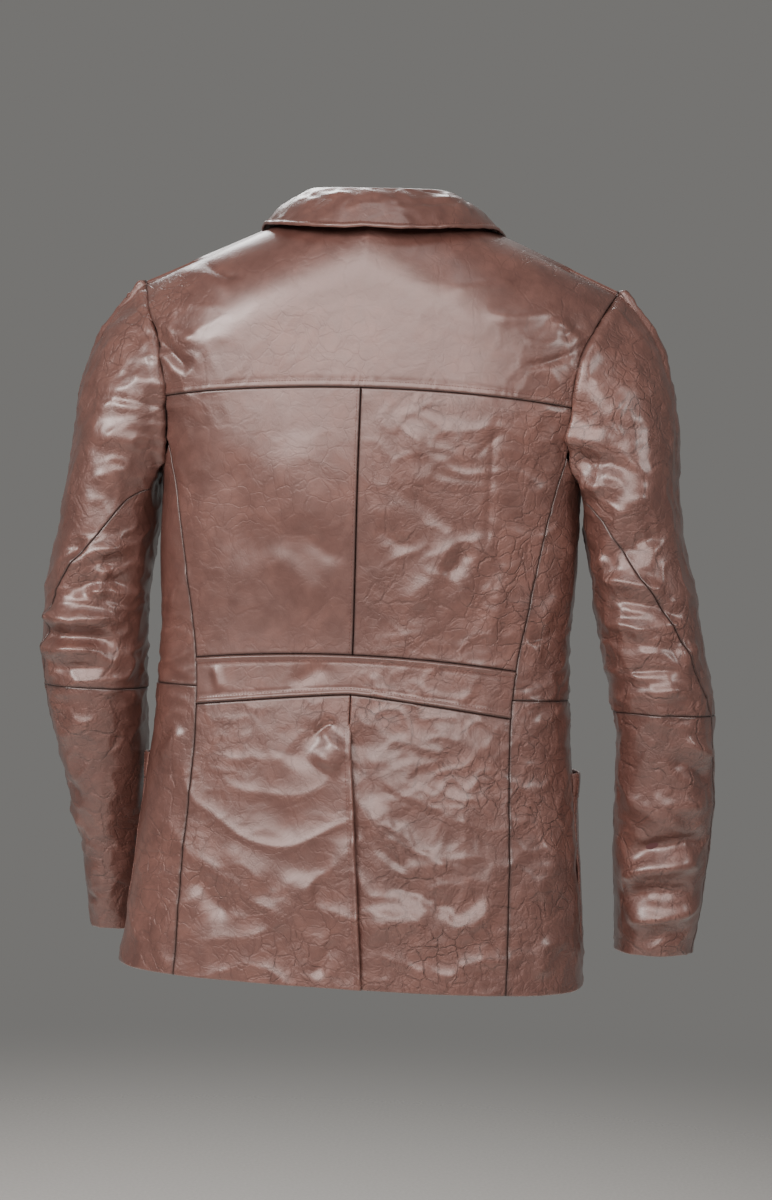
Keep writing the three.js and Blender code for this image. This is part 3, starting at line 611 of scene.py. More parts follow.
def glazed_leather(name, base, dark, light, gloss):
    """Aniline-dyed cowhide under a glazed finish.

    The dark dye shows through, cloudy where the hide took it unevenly and paler where folds have rubbed it,
    and the clear coat over it gives broad soft highlights.
    """
    material, tree, shader = new_material(name)
    where = node(tree, "ShaderNodeTexCoord").outputs["Object"]
    cloud = node(tree, "ShaderNodeTexNoise", {"Vector": where}, in_Scale=9.0, in_Detail=3.0, in_Roughness=0.5)
    mottle = node(
        tree, "ShaderNodeTexNoise", {"Vector": where}, in_Scale=55.0, in_Detail=6.0, in_Roughness=0.62
    )
    both = node(tree, "ShaderNodeMath", {0: cloud.outputs[0], 1: mottle.outputs[0]}, operation="ADD")
    half = node(tree, "ShaderNodeMath", {0: both.outputs[0]}, operation="MULTIPLY", in_1=0.5)
    dyes = [(0.32, linear(dark)), (0.5, linear(base)), (0.68, linear(light))]
    colour = node(tree, "ShaderNodeValToRGB", {0: half.outputs[0]}, stops=dyes).outputs[0]
    # Wear creases: broken facets 40 mm across and finer ones 15 mm across, each showing only in patches.
    slow = node(tree, "ShaderNodeTexNoise", {"Vector": where}, in_Scale=22.0, in_Detail=4.0)
    bent = node(tree, "ShaderNodeMix", {4: where, 5: slow.outputs["Color"]}, data_type="VECTOR", in_0=0.035)
    long_lines = crease_lines(tree, bent.outputs[1], 25.0, 0.05)
    short_lines = crease_lines(tree, bent.outputs[1], 66.0, 0.07)
    here = node(tree, "ShaderNodeValToRGB", {0: mottle.outputs[0]}, stops=[(0.42, WHITE), (0.58, BLACK)])
    there = node(tree, "ShaderNodeValToRGB", {0: cloud.outputs[0]}, stops=[(0.45, WHITE), (0.6, BLACK)])
    broken = node(tree, "ShaderNodeMath", {0: long_lines, 1: here.outputs[0]}, operation="MAXIMUM")
    quiet = node(tree, "ShaderNodeMath", {0: short_lines, 1: there.outputs[0]}, operation="MAXIMUM")
    creased = node(tree, "ShaderNodeMath", {0: broken.outputs[0], 1: quiet.outputs[0]}, operation="MULTIPLY")
    # Shade is painted into the crease lines, and edges and fold tops are rubbed paler.
    crease_shade = node(tree, "ShaderNodeMapRange", {0: creased.outputs[0]}, in_3=0.16, in_4=0.0)
    crease_shaded = node(
        tree, "ShaderNodeMix", {0: crease_shade.outputs[0], 6: colour}, data_type="RGBA", in_7=linear("#3f211c")
    )
    geometry = node(tree, "ShaderNodeNewGeometry")
    edges = {0: geometry.outputs["Pointiness"]}
    worn = node(tree, "ShaderNodeValToRGB", edges, stops=[(0.5, BLACK), (0.57, WHITE)])
    rub = node(tree, "ShaderNodeMath", {0: worn.outputs[0], 1: mottle.outputs[0]}, operation="MULTIPLY")
    rubbed = node(
        tree, "ShaderNodeMix", {0: rub.outputs[0], 6: crease_shaded.outputs[2]}, data_type="RGBA", in_7=linear(light)
    )
    # Shadow and old polish lie in the seams.
    seam = node(tree, "ShaderNodeAttribute", attribute_name="seam").outputs["Fac"]
    deep = node(tree, "ShaderNodeMath", {0: seam}, operation="MULTIPLY", in_1=0.85)
    under = {0: deep.outputs[0], 6: rubbed.outputs[2]}
    seamed = node(tree, "ShaderNodeMix", under, data_type="RGBA", in_7=linear("#22110e"))
    tree.links.new(seamed.outputs[2], shader.inputs["Base Color"])
    # Relief: slack in the hide over 20 mm, the creases, a net of fine wrinkles 8 mm across, and hair-cell
    # grain of about 0.6 mm, drawn at 1.2 mm so that it shows.
    folded = {"Vector": bent.outputs[1]}
    slack = node(tree, "ShaderNodeTexNoise", folded, in_Scale=42.0, in_Detail=5.0, in_Roughness=0.55)
    net = node(tree, "ShaderNodeTexVoronoi", folded, feature="DISTANCE_TO_EDGE", in_Scale=120.0)
    wrinkle = node(tree, "ShaderNodeValToRGB", {0: net.outputs[0]}, stops=[(0.0, BLACK), (0.14, WHITE)])
    cell = node(tree, "ShaderNodeTexVoronoi", {"Vector": where}, feature="DISTANCE_TO_EDGE", in_Scale=820.0)
    wear = node(tree, "ShaderNodeAttribute", attribute_name="wear").outputs["Fac"]
    normal = None
    for height, depth in (
        (slack.outputs[0], 0.0032),
        (creased.outputs[0], 0.0011),
        (wrinkle.outputs[0], 0.0003),
        (cell.outputs[0], 0.0003),
    ):
        depth = node(tree, "ShaderNodeMath", {0: wear}, operation="MULTIPLY", in_1=depth)
        links = {"Height": height, "Distance": depth.outputs[0]}
        if normal:
            links["Normal"] = normal
        normal = node(tree, "ShaderNodeBump", links, in_Strength=1.0).outputs[0]
    tree.links.new(normal, shader.inputs["Normal"])
    rough = node(
        tree,
        "ShaderNodeMapRange",
        {0: mottle.outputs[0]},
        in_1=0.3,
        in_2=0.7,
        in_3=gloss - 0.06,
        in_4=gloss + 0.09,
    )
    dulled = node(tree, "ShaderNodeMath", {0: seam, 2: rough.outputs[0]}, operation="MULTIPLY_ADD", in_1=0.4)
    tree.links.new(dulled.outputs[0], shader.inputs["Roughness"])
    shader.inputs["IOR"].default_value = 1.5
    shader.inputs["Specular Tint"].default_value = linear("#ffe9e4")
    shader.inputs["Coat Weight"].default_value = 1.0
    shader.inputs["Coat Roughness"].default_value = 0.32
    shader.inputs["Coat IOR"].default_value = 1.6
    return material


def satin_lining(name, colour, weft):
    """Acetate satin: fine twisted threads under a smooth face, with a soft sheen."""
    material, tree, shader = new_material(name)
    where = node(tree, "ShaderNodeTexCoord").outputs["UV"]
    # Threads are 0.25 mm apart, drawn at 0.8 mm so that they show.
    weave = node(tree, "ShaderNodeTexWave", {"Vector": where}, in_Scale=1250 / (2 * PI), in_Distortion=0.4)
    cloud = node(tree, "ShaderNodeTexNoise", {"Vector": where}, in_Scale=14.0, in_Detail=3.0)
    dyes = [(0.35, linear(colour)), (0.65, linear(weft))]
    shade = node(tree, "ShaderNodeValToRGB", {0: cloud.outputs[0]}, stops=dyes)
    tree.links.new(shade.outputs[0], shader.inputs["Base Color"])
    height = {"Height": weave.outputs["Fac"]}
    bump = node(tree, "ShaderNodeBump", height, in_Strength=0.12, in_Distance=0.0002)
    tree.links.new(bump.outputs[0], shader.inputs["Normal"])
    shader.inputs["Roughness"].default_value = 0.42
    shader.inputs["Sheen Weight"].default_value = 0.25
    return material


def sewing_thread(name, colour):
    """Twisted polyester thread, a little waxy."""
    material, tree, shader = new_material(name)
    noise_colour(tree, shader, 1800.0, 2.0, [(0.3, colour), (0.7, "#8a635b")])
    shader.inputs["Roughness"].default_value = 0.55
    return material


def wadding(name):
    """Felted cotton wadding."""
    material, tree, shader = new_material(name)
    noise_colour(tree, shader, 420.0, 6.0, [(0.3, "#6d6660"), (0.7, "#958c83")])
    shader.inputs["Roughness"].default_value = 0.95
    return material


def studio_paper(name, colour):
    """Matt seamless paper."""
    material, tree, shader = new_material(name)
    where = noise_colour(tree, shader, 160.0, 3.0, [(0.2, colour), (0.8, "#dedcd8")])
    shader.inputs["Roughness"].default_value = 0.9
    # The sheet fades out between 1.6 and 3.4 m from its middle, so no horizon shows.
    far = node(tree, "ShaderNodeVectorMath", {0: where}, operation="LENGTH")
    away = {0: far.outputs["Value"]}
    fade = node(tree, "ShaderNodeMapRange", away, interpolation_type="SMOOTHSTEP", in_1=1.6, in_2=3.4)
    clear = node(tree, "ShaderNodeBsdfTransparent")
    mixed = node(tree, "ShaderNodeMixShader", {0: fade.outputs[0], 1: shader.outputs[0], 2: clear.outputs[0]})
    tree.links.new(mixed.outputs[0], tree.nodes["Material Output"].inputs["Surface"])
    return material


MATERIALS = {}


# ------------------------------------------------------------------------------------------ stitches
def stitch_tree(thread):
    """Stitches laid end to end along lines: each line is resampled and a short thread is set at each step."""
    tree = bpy.data.node_groups.new("Stitch rows", "GeometryNodeTree")
    face = tree.interface
    face.new_socket("Lines", in_out="INPUT", socket_type="NodeSocketGeometry")
    sizes = (("Pitch", 0.0034), ("Stitch length", 0.0026), ("Thread width", 0.0007), ("Unevenness", 0.12))
    for label, value in sizes:
        socket = face.new_socket(label, in_out="INPUT", socket_type="NodeSocketFloat")
        socket.default_value = value
    face.new_socket("Stitches", in_out="OUTPUT", socket_type="NodeSocketGeometry")
    entry = node(tree, "NodeGroupInput")
    curve = node(tree, "GeometryNodeMeshToCurve", {"Mesh": entry.outputs["Lines"]})
    steps = node(
        tree,
        "GeometryNodeResampleCurve",
        {"Curve": curve.outputs[0], "Length": entry.outputs["Pitch"]},
        mode="LENGTH",
    )
    tangent = node(tree, "GeometryNodeInputTangent")
    up = node(tree, "GeometryNodeInputNamedAttribute", data_type="FLOAT_VECTOR", in_Name="outward")
    turn = node(tree, "FunctionNodeAlignRotationToVector", {"Vector": tangent.outputs[0]}, axis="X")
    turn = node(
        tree,
        "FunctionNodeAlignRotationToVector",
        {"Rotation": turn.outputs[0], "Vector": up.outputs[0]},
        axis="Z",
        pivot_axis="X",
    )
    bead = node(tree, "GeometryNodeMeshUVSphere", in_Segments=6, in_Rings=4, in_Radius=0.5)
    width = entry.outputs["Thread width"]
    size = node(
        tree, "ShaderNodeCombineXYZ", {"X": entry.outputs["Stitch length"], "Y": width, "Z": width}
    )
    vary = node(tree, "FunctionNodeRandomValue", data_type="FLOAT", in_Seed=11)
    tree.links.new(entry.outputs["Unevenness"], vary.inputs[3])
    stretch = node(tree, "ShaderNodeMath", {0: vary.outputs[1]}, operation="ADD", in_1=0.94)
    sized = {0: size.outputs[0], "Scale": stretch.outputs[0]}
    scale = node(tree, "ShaderNodeVectorMath", sized, operation="SCALE")
    placed = node(
        tree,
        "GeometryNodeInstanceOnPoints",
        {
            "Points": steps.outputs[0],
            "Instance": bead.outputs["Mesh"],
            "Rotation": turn.outputs[0],
            "Scale": scale.outputs[0],
        },
    )
    real = node(tree, "GeometryNodeRealizeInstances", {"Geometry": placed.outputs[0]})
    done = node(tree, "GeometryNodeSetMaterial", {"Geometry": real.outputs[0]}, in_Material=thread)
    node(tree, "NodeGroupOutput", {"Stitches": done.outputs[0]})
    return tree


def sew(name, lines, pitch=3.4, length=2.6, width=0.75, lift=0.12):
    """Stitches along lines of (points, normals), as one plain mesh."""
    points, normals, edges = [], [], []
    count = 0
    for p, n in lines:
        points.append(p + n * lift)
        normals.append(n)
        edges += [(count + i, count + i + 1) for i in range(len(p) - 1)]
        count += len(p)
    points, normals = np.vstack(points), np.vstack(normals)
    mesh = bpy.data.meshes.new(name + "_lines")
    mesh.from_pydata((points / 1000).tolist(), edges, [])
    mesh.attributes.new("outward", "FLOAT_VECTOR", "POINT").data.foreach_set("vector", normals.ravel())
    lines_object = bpy.data.objects.new(name + "_lines", mesh)
    bpy.context.collection.objects.link(lines_object)
    tree = bpy.data.node_groups.get("Stitch rows") or stitch_tree(MATERIALS["thread"])
    modifier = lines_object.modifiers.new("stitches", "NODES")
    modifier.node_group = tree
    sizes = {"Pitch": pitch, "Stitch length": length, "Thread width": width}
    for item in tree.interface.items_tree:
        if item.in_out == "INPUT" and item.name in sizes:
            modifier[item.identifier] = sizes[item.name] / 1000
    bpy.context.view_layer.update()
    evaluated = lines_object.evaluated_get(bpy.context.evaluated_depsgraph_get())
    made = bpy.data.meshes.new_from_object(evaluated)
    lines_object.modifiers.remove(modifier)
    bpy.data.objects.remove(lines_object)
    made.name = name
    if "outward" in made.attributes:
        made.attributes.remove(made.attributes["outward"])
    obj = bpy.data.objects.new(name, made)
    bpy.context.collection.objects.link(obj)
    obj.data.polygons.foreach_set("use_smooth", np.ones(len(obj.data.polygons), bool))
    return obj


# ------------------------------------------------------------------------------------------ leather's relief
def turned_edge(patch, edges, radius=2.0, drop=1.3):
    """Leather turned under at a seam: the face rolls down over the last two millimetres."""
    height = 0
    for edge in edges:
        t = np.clip(1 - patch.edges[edge] / radius, 0, 1)
        height = height - drop * (1 - np.sqrt(1 - t**2 * 0.98))
    return height


def puckers(patch, edge, amount=0.35, reach_mm=9.0, size=4.2, inset=0.0):
    """Short ticks across a seam where the stitching gathers the leather."""
    d = patch.edges[edge]
    along = patch.from_top if edge in ("left", "right") else patch.from_left
    p = np.stack([along, 0 * along + 17.0, 0 * along], -1)
    ticks = soft_noise(p, size) + 0.6 * soft_noise(p, size * 0.45, 5.0)
    strength = 0.6 + 0.8 * soft_noise(np.stack([along, along * 0, along * 0 + 9], -1), 38.0)
    near = np.exp(-(((d - inset) / reach_mm) ** 2))
    return amount * ticks * strength * near


def stitch_groove(patch, edge, distance, depth=0.45, width=1.5):
    return -depth * np.exp(-(((patch.edges[edge] - distance) / width) ** 2))


def trunk_relief(p):
    """Folds of the trunk's leather: long soft waves, folds from the shoulders and waist, and buckles."""
    x, y, z = np.moveaxis(p, -1, 0)
    back = y > 0
    worn = wear_at(p)
    h = 1.8 * soft_noise(p * (1, 0.6, 0.8), 95.0)
    h = h + worn * (1.2 * soft_noise(p, 44.0, 4.0) + 0.35 * soft_noise(p, 21.0, 8.0))
    near_arm = smooth((np.abs(x) - 120) / 80) * smooth((-60 - z) / 60) * smooth((z + 330) / 120)
    h = h + rumple(p, 30.0, 1.6) * near_arm
    right_back = smooth((-x - 10) / 40) * smooth((-180 - z) / 30)
    h = h + rumple(p * (1.0, 1.0, 1.6), 48.0, 0.9, 3.0, 6.0) * right_back
    waist = np.exp(-(((z + 455) / 60) ** 2)) * smooth((np.abs(x) - 150) / 30)
    h = h + rumple(p * (0.7, 0.7, 1.5), 30.0, 2.4) * waist
    skirt = smooth((-500 - z) / 60)
    h = h + rumple(p * (0.8, 0.8, 1.2), 62.0, 1.7, 2.4, 12.0) * skirt + rumple(p, 26.0, 0.9, 3.0, 2.0) * worn
    flat = smooth((np.abs(z - RIDGE + SLOPE * np.abs(x)) - 4) / 30)
    folds = 0
    for start, end, height, width, bow, sharp in BACK_FOLDS:
        folds = folds + crease(x, z, start, end, 1.35 * height, width, bow, sharp)
    return h * flat + np.where(back, folds, 0)


# start, end, height, width, bow, sharp: the x, z of each fold of the back, in mm
BACK_FOLDS = [
    # left shoulder, from the armhole over the yoke
    ((232, -84), (150, -140), 1.6, 7, 10, False),
    ((226, -100), (160, -165), -1.5, 5, 8, False),
    ((222, -112), (170, -176), 1.6, 6, 6, False),
    ((214, -128), (172, -168), -1.8, 4, -4, True),
    ((208, -60), (130, -90), 1.2, 8, -8, False),
    ((170, -50), (118, -70), -1.8, 3.5, 6, True),
    ((216, -118), (194, -150), -2.0, 4, 3, True),
    # right shoulder
    ((-204, -130), (-150, -152), -2.2, 3.5, -3, True),
    ((-206, -126), (-172, -104), 1.7, 5, 4, False),
    ((-190, -90), (-110, -104), 1.8, 8, -6, False),
    ((-205, -108), (-188, -122), -1.4, 4, 2, True),
    ((-150, -70), (-70, -86), 1.3, 10, 5, False),
    # upper back, left half: quiet, with broad waves
    ((60, -215), (40, -330), 1.6, 22, 8, False),
    ((120, -230), (100, -360), -1.5, 22, 6, False),
    ((90, -330), (30, -390), 1.5, 14, -6, False),
    ((60, -300), (10, -345), -1.2, 9, 4, False),
    # upper back, right half: more worn
    ((-60, -200), (-55, -290), 1.6, 12, 6, False),
    ((-130, -190), (-126, -330), -1.2, 3, 2, True),
    ((-30, -250), (-90, -300), -1.5, 10, 6, False),
    ((-92, -300), (-50, -390), 2.4, 13, -8, False),
    ((-55, -330), (-20, -300), -1.6, 8, -4, False),
    ((-78, -352), (-110, -318), -2.0, 8, 6, False),
    ((-120, -300), (-85, -392), 2.0, 14, -6, False),
    ((-140, -210), (-110, -240), -1.0, 3, 2, True),
    ((-60, -408), (-64, -426), -1.0, 2.4, 8, True),
    ((-150, -330), (-130, -424), 1.8, 9, 4, False),
    # belt
    ((136, -446), (128, -474), 1.4, 4, 0, False),
    ((20, -440), (60, -466), -1.2, 9, 2, False),
    ((-20, -446), (-28, -470), 1.2, 5, 0, False),
    # vent's top: a short deep crease and the bulge below it
    ((12, -495), (34, -512), -3.6, 4.5, 3, True),
    ((8, -508), (30, -540), 3.6, 13, -4, False),
    ((30, -498), (60, -540), -1.6, 12, -6, False),
    # left skirt
    ((150, -640), (102, -690), -2.6, 11, 4, False),
    ((120, -620), (70, -660), 1.6, 16, 0, False),
    ((30, -640), (60, -700), 2.0, 16, 6, False),
    ((90, -560), (40, -610), -1.3, 18, 4, False),
    ((20, -610), (8, -720), -1.8, 10, 3, False),
    ((0, -700), (22, -742), -2.4, 6, 2, False),
    # right skirt
    ((-20, -560), (-60, -640), 2.0, 13, 4, False),
    ((-55, -636), (-110, -628), 1.6, 8, -4, False),
    ((-30, -600), (-62, -634), -2.2, 7, 3, False),
    ((-40, -650), (-120, -676), -1.8, 7, -6, False),
    ((-20, -690), (-95, -682), 2.8, 13, -4, False),
    ((-100, -690), (-150, -660), 1.5, 9, 5, False),
    ((-40, -568), (-140, -566), -0.9, 2.6, 2, True),
    ((-20, -548), (-110, -590), -0.7, 2.6, 2, True),
    # sides
    ((196, -400), (168, -350), 1.5, 8, 3, False),
    ((192, -545), (170, -505), 2.6, 8, 4, False),
    ((198, -555), (160, -556), -1.0, 2.4, 0, True),
    ((214, -640), (165, -636), -1.4, 3, -3, True),
    ((218, -690), (170, -696), -1.2, 3, 2, True),
    ((-196, -398), (-160, -412), -1.6, 4, -3, True),
    ((-200, -360), (-176, -400), 2.2, 7, 4, False),
    ((-180, -430), (-160, -410), 1.6, 5, 2, False),
    ((-205, -600), (-185, -660), 1.8, 12, 3, False),
    ((-205, -690), (-190, -735), 2.6, 9, 3, False),
]


def leather(name, patch, thick=2.2, edges=ALL_EDGES, sewn=()):
    """A panel's solid: its edges are turned under, and the ones sewn to a neighbour are marked as seams."""
    patch.raise_by(turned_edge(patch, edges))
    for edge in sewn:
        patch.seam = np.maximum(patch.seam, np.exp(-((patch.edges[edge] / 1.9) ** 2)))
    return patch.solid(name, thick, MATERIALS["shell"])


def place_piece(obj, body, nodes=()):
    """Rides a named body or, given a fold's bodies, stays fixed where it is made, and stands for its CAD
    nodes.
    """
    if isinstance(body, str):
        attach(obj, body)
    else:
        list(body)
        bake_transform(obj)
    if nodes:
        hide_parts(*nodes)
    return obj


def metres(*mm):
    return tuple(v / 1000 for v in mm)


def joint_named(name):
    return next(j for j in frame["joints"] if j["name"] == name)


def fold_blend(name, width, outward=-1):
    """The two bodies of a joint and the ends of a strip across its axis; outward is the way it opens in y."""
    j = joint_named(name)
    centre, axis = Vector(j["pos_m"]), Vector(j["axis"]).normalized()
    across = axis.cross(Vector((0, 1, 0))).normalized() * -outward
    return j["parent"], j["child"], centre - across * width / 2000, centre + across * width / 2000


# ------------------------------------------------------------------------------------------ back
def trunk_patch(top, bottom, left, right, deep=0.0, step=2.6):
    return Patch(lambda a, z: trunk_point(a, z, deep), top, bottom, left, right, step)


def back_yoke():
    low = float(yoke_seam(crossing(ARMHOLE, YOKE - 9)))
    end = float(crossing(ARMHOLE, low))
    x = np.linspace(-SHOULDER_END, SHOULDER_END, 160)
    crest = RIDGE - SLOPE * np.abs(x)
    upper = np.where(np.abs(x) < NECK, np.minimum(neck_back(x), crest), crest)
    top = track(np.stack([x, upper], -1), 1)
    bottom = track(level_line(yoke_seam, -end, end), 1)
    side = part_of(ARMHOLE, -62, low)
    side[0] = (SHOULDER_END, RIDGE - SLOPE * SHOULDER_END)
    patch = trunk_patch(top, bottom, track(flipped(side), 1), track(side, 1))
    patch.raise_by(trunk_relief(patch.rest))
    ticks = puckers(patch, "bottom", 0.55, 5.0, 2.6, 4.0)
    patch.raise_by(1.0 + ticks + stitch_groove(patch, "bottom", 6.5, 0.35))
    patch.raise_by(puckers(patch, "left", 0.5) + puckers(patch, "right", 0.5))
    place_piece(leather("yoke", patch, 3.0, sewn=ALL_EDGES), "torso", ["back_yoke"])
    row = patch.line("bottom", 6.5)
    place_piece(sew("yoke_stitches", [row], 2.6, 2.0), "torso")


def upper_backs():
    rows = []
    for side in ("left", "right"):
        low = float(belt_edge(157))
        out = float(crossing(PRINCESS, low))
        high = float(yoke_seam(198))
        edge = np.vstack([part_of(ARMHOLE, high, -226, 20), part_of(PRINCESS, -227, low, 60)])
        end = edge[0][0]
        top = track(sided(level_line(yoke_seam, CENTRE_GAP, end), side), 1)
        bottom = track(sided(level_line(belt_edge, CENTRE_GAP, out), side), 1)
        middle = lerp_line((CENTRE_GAP, yoke_seam(CENTRE_GAP)), (CENTRE_GAP, belt_edge(CENTRE_GAP)), 30)
        patch = trunk_patch(top, bottom, track(sided(middle, side), 1), track(sided(edge, side), 1))
        patch.raise_by(trunk_relief(patch.rest))
        lift = puckers(patch, "right", 0.5, 8) + puckers(patch, "left", 0.3, 6)
        lift = lift + puckers(patch, "bottom", 0.25, 6)
        if side == "left":
            lift = lift + stitch_groove(patch, "left", 3.2) + 0.5 * np.exp(-((patch.from_left / 8) ** 2))
        patch.raise_by(lift)
        piece = leather(f"upper_back_{side}_panel", patch, sewn=ALL_EDGES)
        if side == "left":
            rows.append(patch.line("left", 3.2))
        place_piece(piece, "torso", ["upper_back_" + side])
    place_piece(sew("centre_back_stitches", rows, 3.2, 2.4), "torso")


def back_belt():
    top_end, foot_end = (float(crossing(PRINCESS, f(156.0))) for f in (belt_edge, belt_foot))
    edge = part_of(PRINCESS, float(belt_edge(top_end)), float(belt_foot(foot_end)), 20)
    patch = trunk_patch(
        *tracks(
            1,
            level_line(belt_edge, -top_end, top_end),
            level_line(belt_foot, -foot_end, foot_end),
            flipped(edge),
            edge,
        ),
        step=2.8,
    )
    patch.raise_by(trunk_relief(patch.rest))
    welts = 0
    for edge_name in ("top", "bottom"):
        welts = welts + 1.3 * np.exp(-(((patch.edges[edge_name] - 2.6) / 1.9) ** 4))
        welts = welts + puckers(patch, edge_name, 0.4, 5, 5, 7) + stitch_groove(patch, edge_name, 6.2, 0.5)
    patch.raise_by(0.9 + welts)
    place_piece(leather("half_belt", patch, 3.0, sewn=ALL_EDGES), "torso", ["back_belt"])
    rows = [patch.line("top", 6.2), patch.line("bottom", 6.2)]
    place_piece(sew("belt_stitches", rows, 3.0, 2.2), "torso")


def hem_level(x):
    return HEM + 0 * x


def vent_edge(above, top, foot):
    """A skirt's edge at the centre: the seam above the vent, and the free edge that leans away below it."""
    seam = np.stack([np.full(8, above), np.linspace(float(belt_foot(abs(above))), VENT_TOP + 2, 8)], -1)
    free = np.stack([np.linspace(top, foot, 40), np.linspace(VENT_TOP - 3, HEM, 40)], -1)
    return np.vstack([seam, free])


def back_skirts():
    foot_end = float(crossing(PRINCESS, float(belt_foot(154.0))))
    edge = part_of(PRINCESS, float(belt_foot(foot_end)), HEM, 60)
    # left half, with the vent's free edge
    inner = vent_edge(CENTRE_GAP, -2, -VENT_LAP)
    hem = level_line(hem_level, -VENT_LAP, edge[-1][0])
    patch = trunk_patch(*tracks(1, level_line(belt_foot, CENTRE_GAP, foot_end), hem, inner, edge))
    patch.raise_by(trunk_relief(patch.rest))
    below = smooth((VENT_TOP - patch.rest[..., 2]) / 25)
    lap = 2.4 * below * np.exp(-((patch.from_left / 60) ** 2))
    rim = 0.7 * np.exp(-(((patch.from_left - 2.4) / 1.8) ** 4)) * below
    lift = lap + rim + stitch_groove(patch, "left", 6.6) * below + puckers(patch, "left", 0.35, 7, 5)
    lift = lift + puckers(patch, "right", 0.5, 8) + puckers(patch, "bottom", 0.9, 26, 20)
    patch.raise_by(lift + puckers(patch, "top", 0.3, 5))
    bend = fold_blend("vent_flap_lift", FOLD_STRIP["vent"], 1)
    panel = leather("skirt_left_panel", patch, 2.6, sewn=("right", "top"))
    place_piece(panel, bend, ["back_skirt_left", "back_vent_flap"])
    p, n = patch.line("left", 6.6)
    keep = p[:, 2] < VENT_TOP - 4
    place_piece(sew("vent_stitches", [(p[keep], n[keep])], 3.4, 2.5), bend)
    # right half: its outer face stops under the left's edge, and an under lap carries on below
    inner = vent_edge(-CENTRE_GAP, 2, UNDER_LAP)
    hem = level_line(hem_level, UNDER_LAP, -edge[-1][0])
    patch = trunk_patch(*tracks(1, level_line(belt_foot, -CENTRE_GAP, -foot_end), hem, inner, flipped(edge)))
    patch.raise_by(trunk_relief(patch.rest))
    below = smooth((VENT_TOP + 4 - patch.rest[..., 2]) / 22)
    x = patch.rest[..., 0]
    under = smooth((x + 34) / 26) * below
    lift = -4.2 * under + puckers(patch, "right", 0.5, 8) + puckers(patch, "bottom", 0.8, 24, 22)
    patch.raise_by(lift + puckers(patch, "top", 0.3, 5))
    panel = leather("skirt_right_panel", patch, 2.2, sewn=("right", "top"))
    place_piece(panel, "torso", ["back_skirt_right"])


def side_panels():
    for side in ("left", "right"):
        for part, high, low in (("upper", -232.0, SIDE_WAIST), ("lower", SIDE_WAIST, HEM)):
            back, front = part_of(PRINCESS, high, low), part_of(FRONT_SEAM, high, low)
            back_track, front_track = track(sided(back, side), 1), track(sided(front, side), -1)
            if side == "right":
                front_track = turned_round(front_track)
            a, b = ends_of(back_track), ends_of(front_track)
            dip = 22 if part == "upper" else 0
            patch = trunk_patch(straight(a[0], b[0], dip), straight(a[1], b[1]), back_track, front_track)
            patch.raise_by(trunk_relief(patch.rest))
            lift = puckers(patch, "left", 0.5, 8) + puckers(patch, "right", 0.4, 8)
            waist = "bottom" if part == "upper" else "top"
            lift = lift + puckers(patch, waist, 0.6, 9, 7)
            patch.raise_by(lift + puckers(patch, "bottom", 0.4, 22, 20) * (part == "lower"))
            name = f"side_panel_{part}_{side}"
            sewn = ALL_EDGES if part == "upper" else ("left", "right", "top")
            place_piece(leather(name + "_leather", patch, sewn=sewn), "torso", [name])


# ------------------------------------------------------------------------------------------ fronts
ROLL = lerp_line((NECK - 14, -46), (FRONT_EDGE, BREAK))


def front_edge_line():
    """The front's free edge from the neck down the roll line and the front edge to the rounded corner."""
    corner = spline([(FRONT_EDGE, HEM + 34), (FRONT_EDGE + 8, HEM + 11), (FRONT_EDGE + 30, HEM + 1)], 14)
    neck = spline([(NECK, RIDGE - SLOPE * NECK - 0.5), (NECK - 3, -22), (NECK - 14, -46)], 12)
    return np.vstack([neck, ROLL[1:], lerp_line((FRONT_EDGE, BREAK - 4), (FRONT_EDGE, HEM + 36), 60), corner])


def front_patch(deep, side):
    inner = front_edge_line()
    outer = np.vstack(
        [
            [(SHOULDER_END, RIDGE - SLOPE * SHOULDER_END)],
            part_of(ARMHOLE, -66, -226, 40),
            part_of(FRONT_SEAM, -228, HEM, 70),
        ]
    )
    x = np.linspace(NECK, SHOULDER_END, 60)
    top = np.stack([x, RIDGE - SLOPE * x], -1)
    hem = np.stack([np.linspace(inner[-1][0], outer[-1][0], 40), np.full(40, HEM)], -1)
    return trunk_patch(
        *tracks(-1, *(sided(line, side) for line in (top, hem, inner, outer))), deep=deep, step=4.2
    )


def fronts():
    for side in ("left", "right"):
        patch = front_patch(0, side)
        patch.raise_by(trunk_relief(patch.rest))
        lift = puckers(patch, "right", 0.5, 8) + stitch_groove(patch, "left", 6.0, 0.4)
        patch.raise_by(lift + puckers(patch, "bottom", 0.5, 20, 20) + puckers(patch, "left", 0.25, 6))
        bend = fold_blend("corner_open_" + side, FOLD_STRIP["corner"])
        names = ["front_" + side, "front_corner_" + side]
        place_piece(leather(f"front_{side}_leather", patch, 2.0, sewn=("right", "top")), bend, names)
        p, n = patch.line("left", 6.0)
        keep = p[:, 2] < BREAK - 6
        place_piece(sew(f"front_{side}_stitches", [(p[keep], n[keep])], 3.4, 2.5), bend)


# ------------------------------------------------------------------------------------------ sleeves
BACK_SEAM = {  # level, angle of the sleeve's back seam, in degrees round from the outer side
    "left": [(-66, 152), (-240, 150), (-300, 112), (-380, 60), (ELBOW, 27), (-560, 16), (-730, 12)],
    "right": [(-66, 148), (-240, 146), (-300, 118), (-380, 72), (ELBOW, 24), (-560, 14), (-730, 12)],
}
FRONT_SEAM_ANGLE = 258.0


